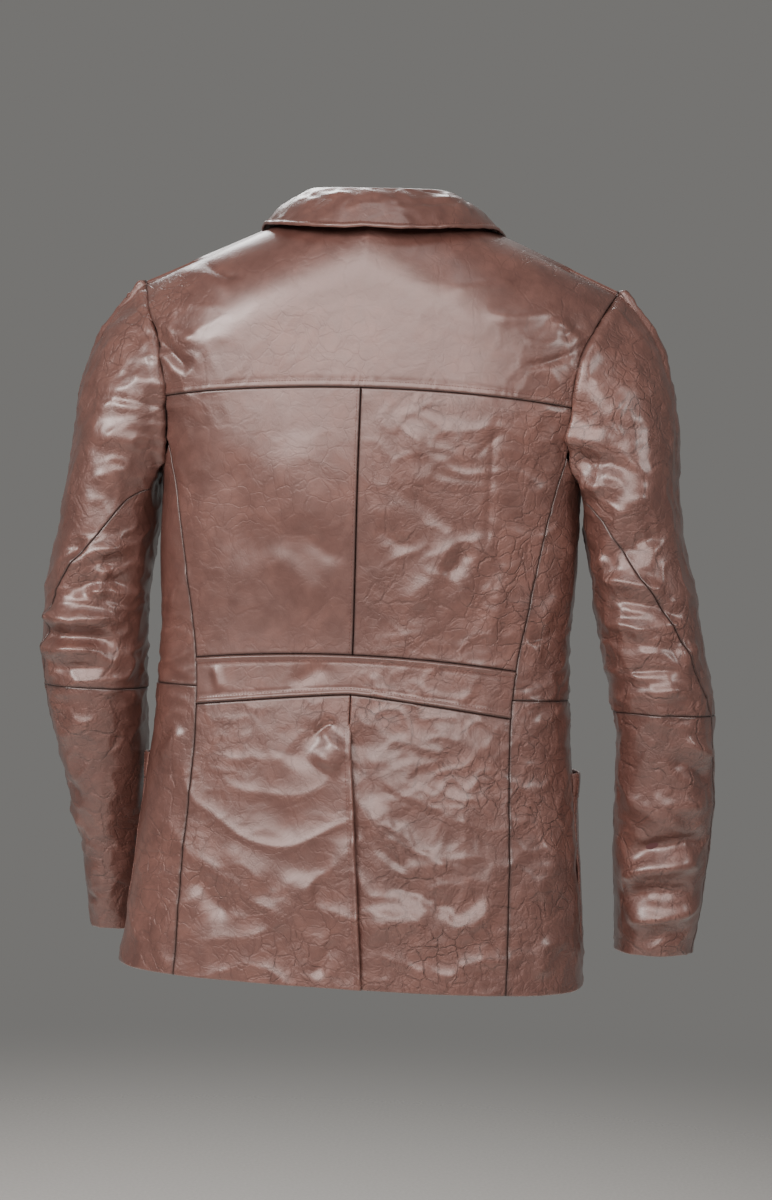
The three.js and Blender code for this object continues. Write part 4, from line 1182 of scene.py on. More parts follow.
def sleeve_point(side, psi, q):
    """A sleeve's surface: q runs 0 to 1 over the cap, and then 1 more for each 100 mm down."""
    rows = SLEEVES[side]
    top = rows[0, 0]

    def ring(z):
        x, wx, y, wy = np.moveaxis(profile(rows, z), -1, 0)
        c, s = (np.sign(wave) * np.abs(wave) ** 0.92 for wave in (np.cos(psi), np.sin(psi)))
        return np.stack([x + wx * c, y + wy * s, z + 0 * x], -1)

    z = np.where(q > 1, top - (q - 1) * 100, top)
    below = ring(z)
    high, low = -63.0, ARMPIT + 0.5
    zr = (high + low) / 2 + (high - low) / 2 * np.cos(psi)
    x = crossing(ARMHOLE, zr)
    body = trunk_point(theta_at(x, zr, 1), zr)[..., 1]
    front = -trunk_point(theta_at(x, zr, -1), zr)[..., 1]
    y = np.sign(np.sin(psi)) * np.where(np.sin(psi) > 0, body, front)
    y = y - np.sign(y) * np.minimum(2.2, np.abs(y))
    rim = np.stack([x - 0.4, y, zr], -1)
    cap_end = ring(np.full_like(psi, top))
    span = np.linalg.norm(cap_end - rim, axis=-1, keepdims=True)
    up = ((1 + np.cos(psi)) / 2)[..., None]
    out = np.concatenate([0.62 + 0.3 * up, 0.3 * np.sin(psi)[..., None], -1 + 0.35 * up], -1)
    t = np.clip(q, 0, 1)[..., None]
    cap = (
        rim * (2 * t**3 - 3 * t**2 + 1)
        + cap_end * (3 * t**2 - 2 * t**3)
        + out * span * (t**3 - 2 * t**2 + t)
        + np.array([0.15, 0, -1.0]) * span * (t**3 - t**2)
    )
    made = np.where((q > 1)[..., None], below, cap)
    return made * (SIGN[side], 1, 1)


def down_to(side, z):
    """q of a level below the cap."""
    return 1 + (SLEEVES[side][0, 0] - z) / 100


def sleeve_patch(side, first, last, start, end, step=2.7, inward=0.0):
    """A length of sleeve between two seams, given as angles in degrees at the level of each q."""

    def angle(line, q):
        z = SLEEVES[side][0, 0] - (q - 1) * 100
        z = np.where(q < 1, -150 - 150 * q, z)
        if np.isscalar(line):
            return np.radians(line + 0 * z)
        rows = np.array(line, float)
        return np.radians(np.interp(-z, -rows[:, 0], rows[:, 1]))

    def across(q):
        def line(t):
            level = np.full_like(t, q)
            return np.stack([angle(first, level) * (1 - t) + angle(last, level) * t, level], -1)

        return line

    def down(seam):
        def line(t):
            q = start + (end - start) * t
            return np.stack([angle(seam, q), q], -1)

        return line

    def surface(psi, q):
        p = sleeve_point(side, psi, q)
        if inward:
            to_middle = middle(p) - p
            p = p + to_middle * (inward / np.maximum(np.linalg.norm(to_middle, axis=-1, keepdims=True), 1))
        return p

    def middle(p):
        rows = SLEEVES[side]
        z = np.minimum(p[..., 2], rows[0, 0])
        x, _, y, _ = np.moveaxis(profile(rows, z), -1, 0)
        x = np.where(p[..., 2] > rows[0, 0], x - 0.12 * (p[..., 2] - rows[0, 0]), x)
        return np.stack([x * SIGN[side], y, p[..., 2]], -1)

    return Patch(surface, across(start), across(end), down(first), down(last), step, middle)


# start, end, height, width, bow, sharp: (angle in degrees, level) of each fold of a sleeve
SLEEVE_FOLDS = {
    "left": [
        ((100, -94), (140, -112), -3.0, 5, -4, True),
        ((95, -106), (142, -124), 2.4, 6, -4, False),
        ((92, -120), (145, -140), -3.0, 5, -6, True),
        ((95, -140), (146, -160), 2.4, 7, -6, False),
        ((80, -136), (146, -172), -3.2, 5, -8, True),
        ((75, -160), (146, -192), 2.2, 8, -6, False),
        ((30, -182), (150, -200), -2.0, 2.6, -2, True),
        ((40, -215), (130, -232), 1.5, 9, -3, False),
        ((60, -330), (130, -352), -3.5, 9, -6, False),
        ((60, -362), (140, -335), 5.5, 9, 6, False),
        ((70, -385), (150, -372), -4.2, 8, 8, False),
        ((20, -400), (140, -402), 5.5, 8, -8, False),
        ((30, -420), (140, -424), -3.6, 7, -6, False),
        ((20, -436), (120, -432), 4.6, 8, -5, False),
        ((40, -455), (130, -450), -2.6, 6, -4, False),
        ((110, -350), (100, -390), 4.0, 8, 4, False),
        ((30, -530), (110, -510), 2.0, 12, 0, False),
        ((20, -575), (70, -590), -2.0, 6, 2, True),
        ((10, -600), (60, -622), 2.4, 8, 0, False),
        ((15, -640), (50, -630), -1.6, 4, 0, True),
        ((20, -690), (80, -700), -1.4, 5, 0, True),
    ],
    "right": [
        ((128, -84), (150, -190), 5.0, 9, 3, False),
        ((108, -84), (128, -190), -4.6, 7, 3, False),
        ((70, -84), (100, -94), -2.4, 4, 0, True),
        ((60, -110), (90, -200), 2.4, 10, 4, False),
        ((90, -220), (140, -212), 3.0, 10, 0, False),
        ((80, -240), (140, -236), -3.6, 9, 0, False),
        ((110, -262), (150, -258), 2.8, 7, 0, False),
        ((60, -262), (115, -300), 2.6, 9, 4, False),
        ((50, -300), (112, -330), -2.6, 8, 4, False),
        ((120, -330), (160, -342), 2.4, 7, 3, False),
        ((60, -362), (150, -350), 3.4, 7, 5, False),
        ((50, -382), (140, -368), -2.6, 6, 4, False),
        ((80, -398), (160, -392), 2.8, 6, 3, False),
        ((30, -410), (70, -424), 3.0, 8, 3, False),
        ((60, -432), (150, -440), -2.6, 5, 2, True),
        ((50, -450), (140, -462), 2.6, 6, 2, False),
        ((20, -520), (80, -500), 4.0, 8, 3, False),
        ((20, -545), (90, -520), -4.0, 8, 3, False),
        ((30, -560), (110, -560), 3.4, 9, -3, False),
        ((20, -598), (140, -620), -5.0, 9, 6, False),
        ((30, -620), (150, -642), 5.5, 9, 6, False),
        ((40, -650), (150, -664), -4.4, 8, 5, False),
        ((20, -660), (140, -682), 4.6, 8, -5, False),
        ((60, -590), (150, -560), 3.6, 10, 5, False),
        ((30, -690), (120, -706), -2.2, 7, 2, False),
    ],
}


def sleeve_relief(side, patch):
    """Folds of a sleeve: waves round it, the buckles at armhole and elbow, and its own deep folds."""
    p = patch.rest
    psi = np.degrees(patch.place[..., 0])
    z = p[..., 2]
    arc = psi * 0.9  # about the millimetres round the sleeve
    h = 2.4 * soft_noise(p, 60.0, 2.0) + 1.5 * soft_noise(p, 28.0, 5.0) + rumple(p, 24.0, 1.3, 2.4)
    elbow = np.exp(-(((z - ELBOW - 40) / 70) ** 2))
    inner = smooth((250 - np.abs(psi - 210)) / 160)
    h = h + rumple(p * (0.6, 0.8, 1.7), 34.0, 3.2, 1.6, 1.0) * elbow * inner
    h = h + rumple(p * (1, 1, 1.4), 24.0, 1.3, 2.0, 3.0) * smooth((z + 300) / 130)
    for start, end, height, width, bow, sharp in SLEEVE_FOLDS[side]:
        a, b = (start[0] * 0.9, start[1]), (end[0] * 0.9, end[1])
        h = h + crease(arc, z, a, b, 1.6 * height, width, bow, sharp)
    return h


def sleeves():
    for side in ("left", "right"):
        back, front = BACK_SEAM[side], FRONT_SEAM_ANGLE
        elbow, cuff = down_to(side, ELBOW), down_to(side, SLEEVES[side][-1, 0])
        shoulder = joint_named("sleeve_raise_" + side)
        elbow_joint = joint_named("elbow_bend_" + side)
        k = SIGN[side]
        inside, outside = metres(k * 212, 0, ARMPIT + 6), metres(k * 318, 0, ARMPIT - 100)
        raised = (shoulder["parent"], shoulder["child"], inside, outside)
        pivot = Vector(elbow_joint["pos_m"])
        bent = (elbow_joint["parent"], elbow_joint["child"], pivot, pivot + Vector((0, 0, -0.085)))
        for part, start, end, bodies in (("upper", 0.0, elbow, raised), ("lower", elbow, cuff, bent)):
            for kind, first, last in (("top", front - 360, back), ("under", back, front)):
                patch = sleeve_patch(side, first, last, start, end)
                patch.raise_by(sleeve_relief(side, patch))
                seam, other = ("right", "left") if kind == "top" else ("left", "right")
                lift = puckers(patch, seam, 0.6, 9, 5) + puckers(patch, other, 0.4, 8)
                if part == "upper":
                    head = np.exp(-(((patch.from_top - 9) / 8) ** 2)) * smooth(patch.from_top / 4)
                    lift = lift + 3.4 * head * (kind == "top") + puckers(patch, "top", 0.8, 16, 11)
                    lift = lift + puckers(patch, "bottom", 0.6, 9, 6)
                else:
                    lift = lift + puckers(patch, "top", 0.5, 8, 6) + puckers(patch, "bottom", 0.5, 14, 16)
                if kind == "top":
                    lift = lift + 0.5 * np.exp(-((patch.edges[seam] / 7) ** 2))
                patch.raise_by(lift)
                name = f"{kind}_sleeve_{part}_{side}"
                sewn = ALL_EDGES if part == "upper" else ("left", "right", "top")
                place_piece(leather(name + "_leather", patch, sewn=sewn), bodies, [name])
            foot = end - 0.14 * (part == "lower")
            lining = sleeve_patch(side, front - 360, front - 0.5, start, foot, 6.0, LINING_DEPTH)
            lining.raise_by(0.8 * soft_noise(lining.rest, 30.0, 2.0))
            name = f"sleeve_lining_{part}_{side}"
            place_piece(lining.solid(name + "_satin", 0.5, MATERIALS["lining"]), bodies, [name])


# ------------------------------------------------------------------------------------------ collar and lapels
def round_neck(points, n=80):
    """A line round the neck from the right front end over the back to the left one, from its left half."""
    half = spline(points, n)
    return np.vstack([half[::-1] * (-1, 1, 1), half[1:]])


COLLAR_NECK = round_neck([(0, 76, -8), (34, 66, -6), (62, 38, 4), (73, 0, 8), (71, -36, -8), (66, -72, -38)])
COLLAR_FOLD = round_neck([(0, 80, 18), (34, 70, 20), (66, 42, 24), (78, 0, 24), (77, -44, 6), (70, -88, -38)])
COLLAR_EDGE = round_neck(
    [(0, 108, -24), (42, 102, -24), (92, 66, -16), (121, 6, -8), (126, -52, -26), (114, -98, -58)]
)


def ribbon(first, second, bulge):
    """A band between two lines of equal length, crowned outwards."""

    def surface(u, v):
        i = u * (len(first) - 1)
        low = np.minimum(i.astype(int), len(first) - 2)
        f = (i - low)[..., None]
        a = first[low] * (1 - f) + first[low + 1] * f
        b = second[low] * (1 - f) + second[low + 1] * f
        v = v[..., None]
        p = a * (1 - v) + b * v
        out = p * (1, 1, 0)
        out = out / np.maximum(np.linalg.norm(out, axis=-1, keepdims=True), 1e-6)
        return p + out * bulge * np.sin(PI * v) * np.sqrt(np.clip(1 - v, 0, 1))

    return surface


def square_patch(surface, step):
    """A patch of a surface whose two coordinates both run from 0 to 1."""
    corners = (0, 0), (1, 0), (0, 1), (1, 1)
    top, foot = straight(*corners[:2]), straight(*corners[2:])
    left, right = straight(*corners[::2]), straight(*corners[1::2])
    return Patch(surface, top, foot, left, right, step)


def band_patch(first, second, bulge, step):
    return square_patch(ribbon(first, second, bulge), step)


def collar():
    fall = band_patch(COLLAR_FOLD, COLLAR_EDGE, 7.0, 2.6)
    p = fall.rest
    h = 1.0 * soft_noise(p, 36.0, 3.0) + rumple(p * (0.5, 1, 1), 16.0, 0.7, 2.4) + 0.5 * soft_noise(p, 14.0)
    run, down = fall.from_left - fall.from_left[0].max() / 2, fall.from_top
    for start, end, height, width in (
        ((-90, 12), (-30, 20), 1.6, 4),
        ((-60, 22), (20, 27), -1.4, 3),
        ((30, 10), (92, 20), 1.8, 4),
        ((60, 20), (110, 12), -1.6, 3),
        ((-110, 8), (-80, 20), -1.4, 3),
    ):
        h = h + crease(run, down, start, end, height, width)
    rim = 0.9 * np.exp(-(((fall.from_bottom - 2.6) / 2.0) ** 4))
    fall.raise_by(h * smooth(fall.from_top / 6) + rim + stitch_groove(fall, "bottom", 5.4, 0.6))
    fall.raise_by(puckers(fall, "bottom", 0.4, 7, 5))
    piece = leather("collar_fall_leather", fall, 3.0, edges=("left", "right", "bottom"))
    place_piece(piece, "torso", ["collar_fall"])
    stand = band_patch(COLLAR_FOLD * (0.99, 0.99, 1) - (0, 0, 1.2), COLLAR_NECK, 0.0, 4.0)
    stand.raise_by(-0.8 + 0.4 * soft_noise(stand.rest, 20.0))
    place_piece(leather("collar_stand_leather", stand, 2.0), "torso", ["collar_stand"])
    place_piece(sew("collar_stitches", [fall.line("bottom", 5.4)], 3.0, 2.2), "torso")


def lapels():
    for side in ("left", "right"):
        outer = np.vstack(
            [
                lerp_line((NECK - 12, -50), (NECK + 20, -80), 12),
                lerp_line((NECK + 21, -81), (116, -92), 12),
                spline([(113, -104), (104, -170), (62, -262), (FRONT_EDGE + 1, BREAK)], 60),
            ]
        )
        inner = ROLL + (0.5, 0)
        top = lerp_line(inner[0], outer[0], 4)
        # the roll line is the patch's left edge and the lapel's outline its right edge
        foot = lerp_line(inner[-1], outer[-1] + (0.6, 0), 4)
        patch = trunk_patch(
            *tracks(-1, *(sided(line, side) for line in (top, foot, inner, outer))), deep=-3.2, step=3.2
        )
        roll = -2.8 * (1 - np.sqrt(np.clip(1 - np.clip(1 - patch.from_left / 7, 0, 1) ** 2, 0, 1)))
        h = 0.8 * soft_noise(patch.rest, 40.0, 1.0) + 0.3 * soft_noise(patch.rest, 18.0, 2.0)
        patch.raise_by(h * smooth(patch.from_left / 10) + roll + stitch_groove(patch, "right", 6.0, 0.4))
        bend = fold_blend("lapel_lift_" + side, FOLD_STRIP["lapel"])
        piece = leather(f"lapel_{side}_leather", patch, 2.0, edges=("right", "top"))
        place_piece(piece, bend, ["lapel_" + side])
        row = patch.line("right", 6.0, 8)
        place_piece(sew(f"lapel_{side}_stitches", [row], 3.2, 2.4), bend)


# ------------------------------------------------------------------------------------------ pockets
def mirrored(line):
    return lambda t: np.stack([PI - line(t)[:, 0], line(t)[:, 1]], -1)


def pockets():
    for side in ("left", "right"):
        # angles of the pocket's rear and front edges on the trunk
        rear, front = 0.045, -float(theta_at(np.array(122.0), np.array(POCKET_TOP - 60), 1))
        corner = 26.0

        def edge(angle, inwards):
            def line(t):
                z = POCKET_TOP + (POCKET_FOOT - POCKET_TOP) * t
                near = np.clip((POCKET_FOOT + corner - z) / corner, 0, 1)
                turn = inwards * corner / 150 * (1 - np.sqrt(np.clip(1 - near**2, 0, 1)))
                return np.stack([angle + turn + 0 * t, z], -1)

            return line

        a, b = edge(rear, -1), edge(front, 1)
        if side == "right":
            a, b = mirrored(a), mirrored(b)
        rear_ends, front_ends = ends_of(a), ends_of(b)
        top, foot = (straight(rear_ends[k], front_ends[k]) for k in (0, 1))
        patch = trunk_patch(top, foot, a, b, deep=-2.6, step=3.0)
        u = patch.from_left / (patch.from_left + patch.from_right)
        v = patch.from_top / (patch.from_top + patch.from_bottom)
        crown = 9.0 * np.sin(PI * u**1.4).clip(0, 1) * np.cos(PI / 2 * v).clip(0, 1) ** 0.7
        gape = 4.5 * np.exp(-((v / 0.16) ** 2)) * smooth(u / 0.04) * smooth((1 - u) / 0.04)
        h = 0.9 * soft_noise(patch.rest, 34.0, 3.0) + rumple(patch.rest, 26.0, 0.5)
        seam = 0
        for name in ("left", "right", "bottom"):
            seam = seam + stitch_groove(patch, name, 4.6, 0.5) + puckers(patch, name, 0.35, 7, 5)
        band = stitch_groove(patch, "top", 24.0, 0.7) + 0.4 * (patch.from_top < 24)
        patch.raise_by(crown + gape + h + seam + band)
        piece = leather(f"patch_pocket_{side}_leather", patch, 2.4)
        place_piece(piece, "torso", ["patch_pocket_" + side])
        rows = [patch.line("left", 4.6, 0), patch.line("right", 4.6, 0)]
        rows += [patch.line("bottom", 4.6, 12), patch.line("top", 24.0)]
        place_piece(sew(f"pocket_{side}_stitches", rows, 3.2, 2.4), "torso")


# ------------------------------------------------------------------------------------------ inside
def linings():
    crest_drop = LINING_DEPTH * 1.1 + 0.5
    half = SHOULDER - 14
    x = np.linspace(-half, half, 120)
    crest = RIDGE - SLOPE * np.abs(x) - crest_drop
    upper = np.where(np.abs(x) < NECK, np.minimum(neck_back(x) - 4, crest), crest)
    side = part_of(ARMHOLE, -74, -246, 60) - (4, 0)
    wall = np.vstack([side, lerp_line((203, -252), (206, HEM + 22), 60)])
    wall[0] = (half, RIDGE - SLOPE * half - crest_drop)
    hem = lerp_line((-206, HEM + 22), (206, HEM + 22), 60)
    upper = np.stack([x, upper], -1)
    patch = trunk_patch(*tracks(1, upper, hem, flipped(wall), wall), deep=LINING_DEPTH, step=7.0)
    h = 1.2 * soft_noise(patch.rest, 60.0, 4.0) + 0.5 * soft_noise(patch.rest, 24.0, 9.0)
    pleat = -2.5 * np.exp(-((patch.rest[..., 0] / 9) ** 2)) * smooth((-40 - patch.rest[..., 2]) / 40)
    patch.raise_by(np.minimum(h + pleat, 2.0))
    satin = patch.solid("back_lining_satin", 0.6, MATERIALS["lining"])
    place_piece(satin, "torso", ["back_lining"])
    neck_facing()
    for side in ("left", "right"):
        front_inside(side)
        sides_lining(side)


def neck_facing():
    """The leather facing inside the back neck."""
    half = NECK + 8
    x = np.linspace(-half, half, 80)
    crest = RIDGE - SLOPE * np.abs(x) - 5
    upper = np.stack([x, np.where(np.abs(x) < NECK, np.minimum(neck_back(x) - 1, crest), crest)], -1)
    foot = level_line(lambda t: -66 + 40 * (np.abs(t) / NECK) ** 3, -half, half)
    ends = lerp_line((half, float(crest[-1])), (half, foot[-1][1] - 1.0), 6)
    patch = trunk_patch(*tracks(1, upper, foot, flipped(ends), ends), deep=NECK_FACING_DEPTH, step=4.0)
    facing = patch.solid("neck_facing_leather", 1.4, MATERIALS["facing"])
    place_piece(facing, "torso", ["back_neck_facing"])


def front_inside(side):
    """The facing behind a front's edge, and the lining between it and the side."""
    inside = front_patch(FACING_DEPTH, side)
    inside.raise_by(0.4 * soft_noise(inside.rest, 40.0))
    columns = int(inside.rest.shape[1] * 0.62)
    edge = inside.window(slice(None), slice(columns))
    facing = edge.solid(f"front_facing_{side}_leather", 1.6, MATERIALS["facing"])
    bend = fold_blend("corner_open_" + side, FOLD_STRIP["corner"])
    place_piece(facing, bend, ["front_facing_" + side, "corner_facing_" + side])
    rest = inside.window(slice(8, -9), slice(columns - 2, None))
    rest.points = rest.points - rest.normal * 2.2
    satin = rest.solid(f"front_lining_{side}_satin", 0.6, MATERIALS["lining"])
    place_piece(satin, "torso", ["side_lining_" + side])


def sides_lining(side):
    """The lining between front and back, under the arm."""
    high, low = -262.0, HEM + 24
    back, front = lerp_line((198, high), (200, low)), lerp_line((182, high), (184, low))
    back_track, front_track = track(sided(back, side), 1), track(sided(front, side), -1)
    if side == "right":
        front_track = turned_round(front_track)
    a, b = ends_of(back_track), ends_of(front_track)
    lines = straight(a[0], b[0]), straight(a[1], b[1]), back_track, front_track
    patch = trunk_patch(*lines, deep=LINING_DEPTH - 0.8, step=8.0)
    satin = patch.solid(f"side_lining_{side}_satin", 0.6, MATERIALS["lining"])
    place_piece(satin, "torso", ())


def shoulder_pads():
    lead, half, tip = 150, SHOULDER - 16, (206, -118)
    crest = RIDGE - 5.6  # the pads' crest, carried on to the centre
    x = np.linspace(lead, half, 20)
    top = np.stack([x, crest - SLOPE * x], -1)
    foot = spline([(lead, -60), (175, -100), tip], 20)
    inner = lerp_line((lead, crest - SLOPE * lead), (lead, -60), 12)
    outer = np.vstack([[(half, crest - SLOPE * half)], part_of(ARMHOLE, -74, -112, 20) - (5, 0), [tip]])
    for side in ("left", "right"):
        for face, where in ((1, "back"), (-1, "front")):
            lines = tracks(face, *(sided(line, side) for line in (top, foot, inner, outer)))
            patch = trunk_patch(*lines, deep=PAD_DEPTH, step=6.0)
            pad = patch.solid(f"shoulder_pad_{side}_{where}", 3.0, MATERIALS["wadding"])
            place_piece(pad, "torso", ["shoulder_pad_" + side] if where == "back" else ())


def hanging_loop():
    low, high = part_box("hanging_loop")
    run = np.linspace(-1, 1, 41)
    half = (high.x - low.x) * 500
    top, foot = high.z * 1000, low.z * 1000
    y = high.y * 1000 - 11 * np.sqrt(1 - run**2) - 0.7

    def surface(u, v):
        x, depth = (np.interp(u, (run + 1) / 2, values) for values in (run * half, y))
        return np.stack([x, depth, top + (foot - top) * v], -1)

    loop = square_patch(surface, 1.5).solid("hanging_loop_leather", 1.2, MATERIALS["facing"])
    place_piece(loop, "torso", ["hanging_loop"])


def buttons():
    for name, body in (("front_button_top", "torso"), ("front_button_lower", "corner_right")):
        low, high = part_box(name)
        middle = (low + high) / 2
        radius = (high.z - low.z) * 500
        depth = (high.y - low.y) * 1000
        # radius and height of the rings from the foot of the shank to the dished face
        outline = [
            (2.6, 0),
            (2.6, 1.6),
            (radius - 2, 1.7),
            (radius, 2.6),
            (radius - 0.3, depth - 0.9),
            (radius - 1.6, depth),
            (radius - 3.2, depth - 0.5),
            (radius * 0.3, depth - 1.0),
        ]
        turns = np.linspace(0, 2 * PI, 40, endpoint=False)
        points = [(r * math.cos(a), -h, r * math.sin(a)) for r, h in outline for a in turns]
        points = np.array(points) + (middle.x * 1000, high.y * 1000, middle.z * 1000)
        rings = np.arange(len(points)).reshape(len(outline), len(turns))
        after = np.roll(rings, -1, axis=1)
        faces = np.stack([rings[:-1], after[:-1], after[1:], rings[1:]], -1).reshape(-1, 4)
        obj = mesh_object(name + "_leather", points, faces, MATERIALS["button"])
        close_and_face(obj)
        place_piece(obj, body, [name])


def close_and_face(obj):
    """Fills an object's open rings and turns its faces outwards."""
    work = bmesh.new()
    work.from_mesh(obj.data)
    bmesh.ops.holes_fill(work, edges=[e for e in work.edges if e.is_boundary], sides=0)
    bmesh.ops.recalc_face_normals(work, faces=work.faces)
    work.to_mesh(obj.data)
    work.free()


# ------------------------------------------------------------------------------------------ stage
FLOOR_LEVEL, FLOOR_HALF = -1450, 4000
# name, place, what it aims at, width and height, power in watts, colour; in metres
LIGHTS = [
    ("key", (0.45, 2.8, 0.75), (0, 0, -0.3), (3.4, 1.6), 108, (1.0, 0.865, 0.82)),
    ("left kicker", (1.9, 1.9, 0.8), (0.2, 0, -0.3), (0.4, 0.5), 32, (1.0, 0.92, 0.89)),
    ("right kicker", (-2.1, 1.5, 0.6), (-0.2, 0, -0.4), (0.3, 0.4), 12, (1.0, 0.92, 0.89)),
    ("overhead", (0.0, 1.2, 1.9), (0, 0, -0.35), (1.6, 0.8), 8, (1, 1, 1)),
    ("front", (0.6, -2.1, 1.7), (0, 0, -0.35), (1.6, 1.0), 46, (1, 1, 1)),
]


def area_light(name, place, aim, size, power, colour):
    data = bpy.data.lights.new(name, "AREA")
    data.shape = "RECTANGLE"
    data.size, data.size_y = size
    data.energy = power
    data.color = colour
    obj = bpy.data.objects.new(name, data)
    obj.location = place
    obj.rotation_euler = (Vector(aim) - Vector(place)).to_track_quat("-Z", "Y").to_euler()
    bpy.context.collection.objects.link(obj)


def studio_floor():
    corners = [(-1, -1), (1, -1), (1, 1), (-1, 1)]
    points = [(x * FLOOR_HALF, y * FLOOR_HALF, FLOOR_LEVEL) for x, y in corners]
    mesh_object("studio_floor", np.array(points, float), [(0, 1, 2, 3)], MATERIALS["paper"], False)


def studio_light(backdrop):
    world = bpy.data.worlds.new("studio")
    world.use_nodes = True
    background = world.node_tree.nodes["Background"]
    background.inputs["Color"].default_value = linear(backdrop)
    background.inputs["Strength"].default_value = 0.25
    bpy.context.scene.world = world
    for light in LIGHTS:
        area_light(*light)


def stage_camera(settings):
    """A level camera behind the coat that looks a little below its middle."""
    out = Vector((math.sin(settings.azimuth), -math.cos(settings.azimuth), 0))
    side = Vector((math.cos(settings.azimuth), math.sin(settings.azimuth), 0))
    data = bpy.data.cameras.new("camera")
    data.lens = 60
    data.sensor_width = 36
    camera = bpy.data.objects.new("camera", data)
    camera.location = side * 0.020 + Vector((0, 0, -0.377)) + out * settings.distance
    camera.rotation_euler = (-out).to_track_quat("-Z", "Y").to_euler()
    camera.rotation_euler.rotate_axis("Z", settings.roll)
    bpy.context.collection.objects.link(camera)
    bpy.context.scene.camera = camera


# ------------------------------------------------------------------------------------------ add-on
class BlazerFinishes(bpy.types.PropertyGroup):
    leather: bpy.props.StringProperty(
        name="Leather", description="Colour of the dyed hide", default="#62433c"
    )
    leather_dark: bpy.props.StringProperty(
        name="Leather, dark", description="Colour where the dye is deepest", default="#523630"
    )
    leather_light: bpy.props.StringProperty(
        name="Leather, rubbed", description="Colour where wear has rubbed it", default="#755148"
    )
    gloss: bpy.props.FloatProperty(
        name="Roughness",
        description="Roughness of the glaze",
        default=0.40,
        min=0.1,
        max=0.9,
        subtype="FACTOR",
    )
    lining: bpy.props.StringProperty(name="Lining", description="Colour of the satin", default="#4a2528")
    thread: bpy.props.StringProperty(name="Thread", description="Colour of the stitches", default="#5a342e")


class BlazerStage(bpy.types.PropertyGroup):
    azimuth: bpy.props.FloatProperty(
        name="Azimuth",
        description="Camera's turn round the coat",
        default=math.radians(187),
        subtype="ANGLE",
    )
    distance: bpy.props.FloatProperty(
        name="Distance", description="Camera's distance", default=2.0, unit="LENGTH", subtype="DISTANCE"
    )
    roll: bpy.props.FloatProperty(
        name="Roll",
        description="Camera's tilt about its own axis",
        default=math.radians(2.4),
        subtype="ANGLE",
    )
    backdrop: bpy.props.StringProperty(
        name="Backdrop", description="Colour of the studio", default="#dcdad6"
    )


class BLAZER_OT_finishes(bpy.types.Operator):
    """Makes the leather, lining, thread and wadding"""

    bl_idname = "blazer.finishes"
    bl_label = "Finishes"

    def execute(self, context):
        s = context.scene.blazer_finishes
        MATERIALS["shell"] = glazed_leather(
            "glazed_aniline_cowhide", s.leather, s.leather_dark, s.leather_light, s.gloss
        )
        MATERIALS["facing"] = glazed_leather(
            "plain_aniline_cowhide", s.leather_dark, "#552f2a", s.leather, 0.5
        )
        MATERIALS["button"] = glazed_leather("covered_button_leather", "#3c221d", "#2c1613", "#553630", 0.35)
        MATERIALS["lining"] = satin_lining("acetate_satin", s.lining, "#582f31")
        MATERIALS["thread"] = sewing_thread("polyester_thread", s.thread)
        MATERIALS["wadding"] = wadding("cotton_wadding")
        MATERIALS["paper"] = studio_paper("seamless_paper", "#cfcdc9")
        return {"FINISHED"}


class BLAZER_OT_back(bpy.types.Operator):
    """Makes the yoke, upper backs, half belt and skirts"""

    bl_idname = "blazer.back"
    bl_label = "Back panels"

    def execute(self, context):
        back_yoke()
        upper_backs()
        back_belt()
        back_skirts()
        return {"FINISHED"}


class BLAZER_OT_sides(bpy.types.Operator):
    """Makes the side panels"""

    bl_idname = "blazer.sides"
    bl_label = "Side panels"

    def execute(self, context):
        side_panels()
        return {"FINISHED"}


class BLAZER_OT_fronts(bpy.types.Operator):
    """Makes the two fronts"""

    bl_idname = "blazer.fronts"
    bl_label = "Fronts"

    def execute(self, context):
        fronts()
        return {"FINISHED"}


class BLAZER_OT_sleeves(bpy.types.Operator):
    """Makes the sleeves and their linings"""

    bl_idname = "blazer.sleeves"
    bl_label = "Sleeves"

    def execute(self, context):
        sleeves()
        return {"FINISHED"}


class BLAZER_OT_collar(bpy.types.Operator):
    """Makes the collar, its stand and the lapels"""

    bl_idname = "blazer.collar"
    bl_label = "Collar and lapels"

    def execute(self, context):
        collar()
        lapels()
        return {"FINISHED"}


class BLAZER_OT_pockets(bpy.types.Operator):
    """Makes the two patch pockets"""

    bl_idname = "blazer.pockets"
    bl_label = "Pockets"

    def execute(self, context):
        pockets()
        return {"FINISHED"}


class BLAZER_OT_inside(bpy.types.Operator):
    """Makes the linings, facings, shoulder pads and hanging loop"""

    bl_idname = "blazer.inside"
    bl_label = "Inside"

    def execute(self, context):
        linings()
        shoulder_pads()
        hanging_loop()
        return {"FINISHED"}


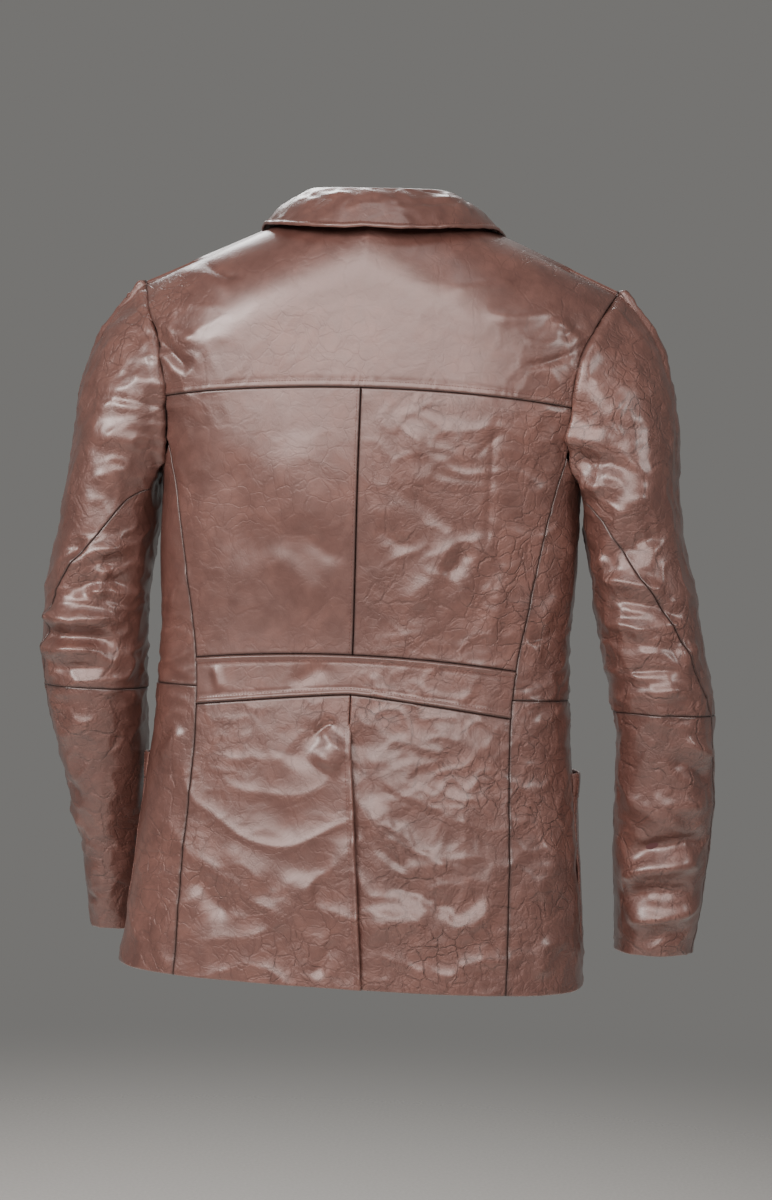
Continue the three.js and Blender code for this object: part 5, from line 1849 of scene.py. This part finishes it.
class BLAZER_OT_buttons(bpy.types.Operator):
    """Makes the covered buttons"""

    bl_idname = "blazer.buttons"
    bl_label = "Buttons"

    def execute(self, context):
        buttons()
        return {"FINISHED"}


class BLAZER_OT_stage(bpy.types.Operator):
    """Makes the floor, lights and camera"""

    bl_idname = "blazer.stage"
    bl_label = "Stage"

    def execute(self, context):
        studio_floor()
        studio_light(context.scene.blazer_stage.backdrop)
        stage_camera(context.scene.blazer_stage)
        return {"FINISHED"}


class BLAZER_PT_panel(bpy.types.Panel):
    """Lists the blazer's settings and pieces"""

    bl_idname = "BLAZER_PT_panel"
    bl_label = "Blazer"
    bl_space_type = "VIEW_3D"
    bl_region_type = "UI"
    bl_category = "Blazer"

    def draw(self, context):
        for group in (context.scene.blazer_finishes, context.scene.blazer_stage):
            for key in group.__annotations__:
                self.layout.prop(group, key)
        for operator in OPERATORS:
            self.layout.operator(operator.bl_idname)


OPERATORS = (
    BLAZER_OT_finishes,
    BLAZER_OT_back,
    BLAZER_OT_sides,
    BLAZER_OT_fronts,
    BLAZER_OT_sleeves,
    BLAZER_OT_collar,
    BLAZER_OT_pockets,
    BLAZER_OT_inside,
    BLAZER_OT_buttons,
    BLAZER_OT_stage,
)
CLASSES = (BlazerFinishes, BlazerStage, *OPERATORS, BLAZER_PT_panel)


def register():
    for each in CLASSES:
        bpy.utils.register_class(each)
    bpy.types.Scene.blazer_finishes = bpy.props.PointerProperty(type=BlazerFinishes)
    bpy.types.Scene.blazer_stage = bpy.props.PointerProperty(type=BlazerStage)


def unregister():
    del bpy.types.Scene.blazer_stage
    del bpy.types.Scene.blazer_finishes
    for each in reversed(CLASSES):
        bpy.utils.unregister_class(each)


def main():
    register()
    bpy.ops.blazer.finishes()
    bpy.ops.blazer.back()
    bpy.ops.blazer.sides()
    bpy.ops.blazer.fronts()
    bpy.ops.blazer.sleeves()
    bpy.ops.blazer.collar()
    bpy.ops.blazer.pockets()
    bpy.ops.blazer.inside()
    bpy.ops.blazer.buttons()
    bpy.ops.blazer.stage()


if __name__ == "__main__":
    main()
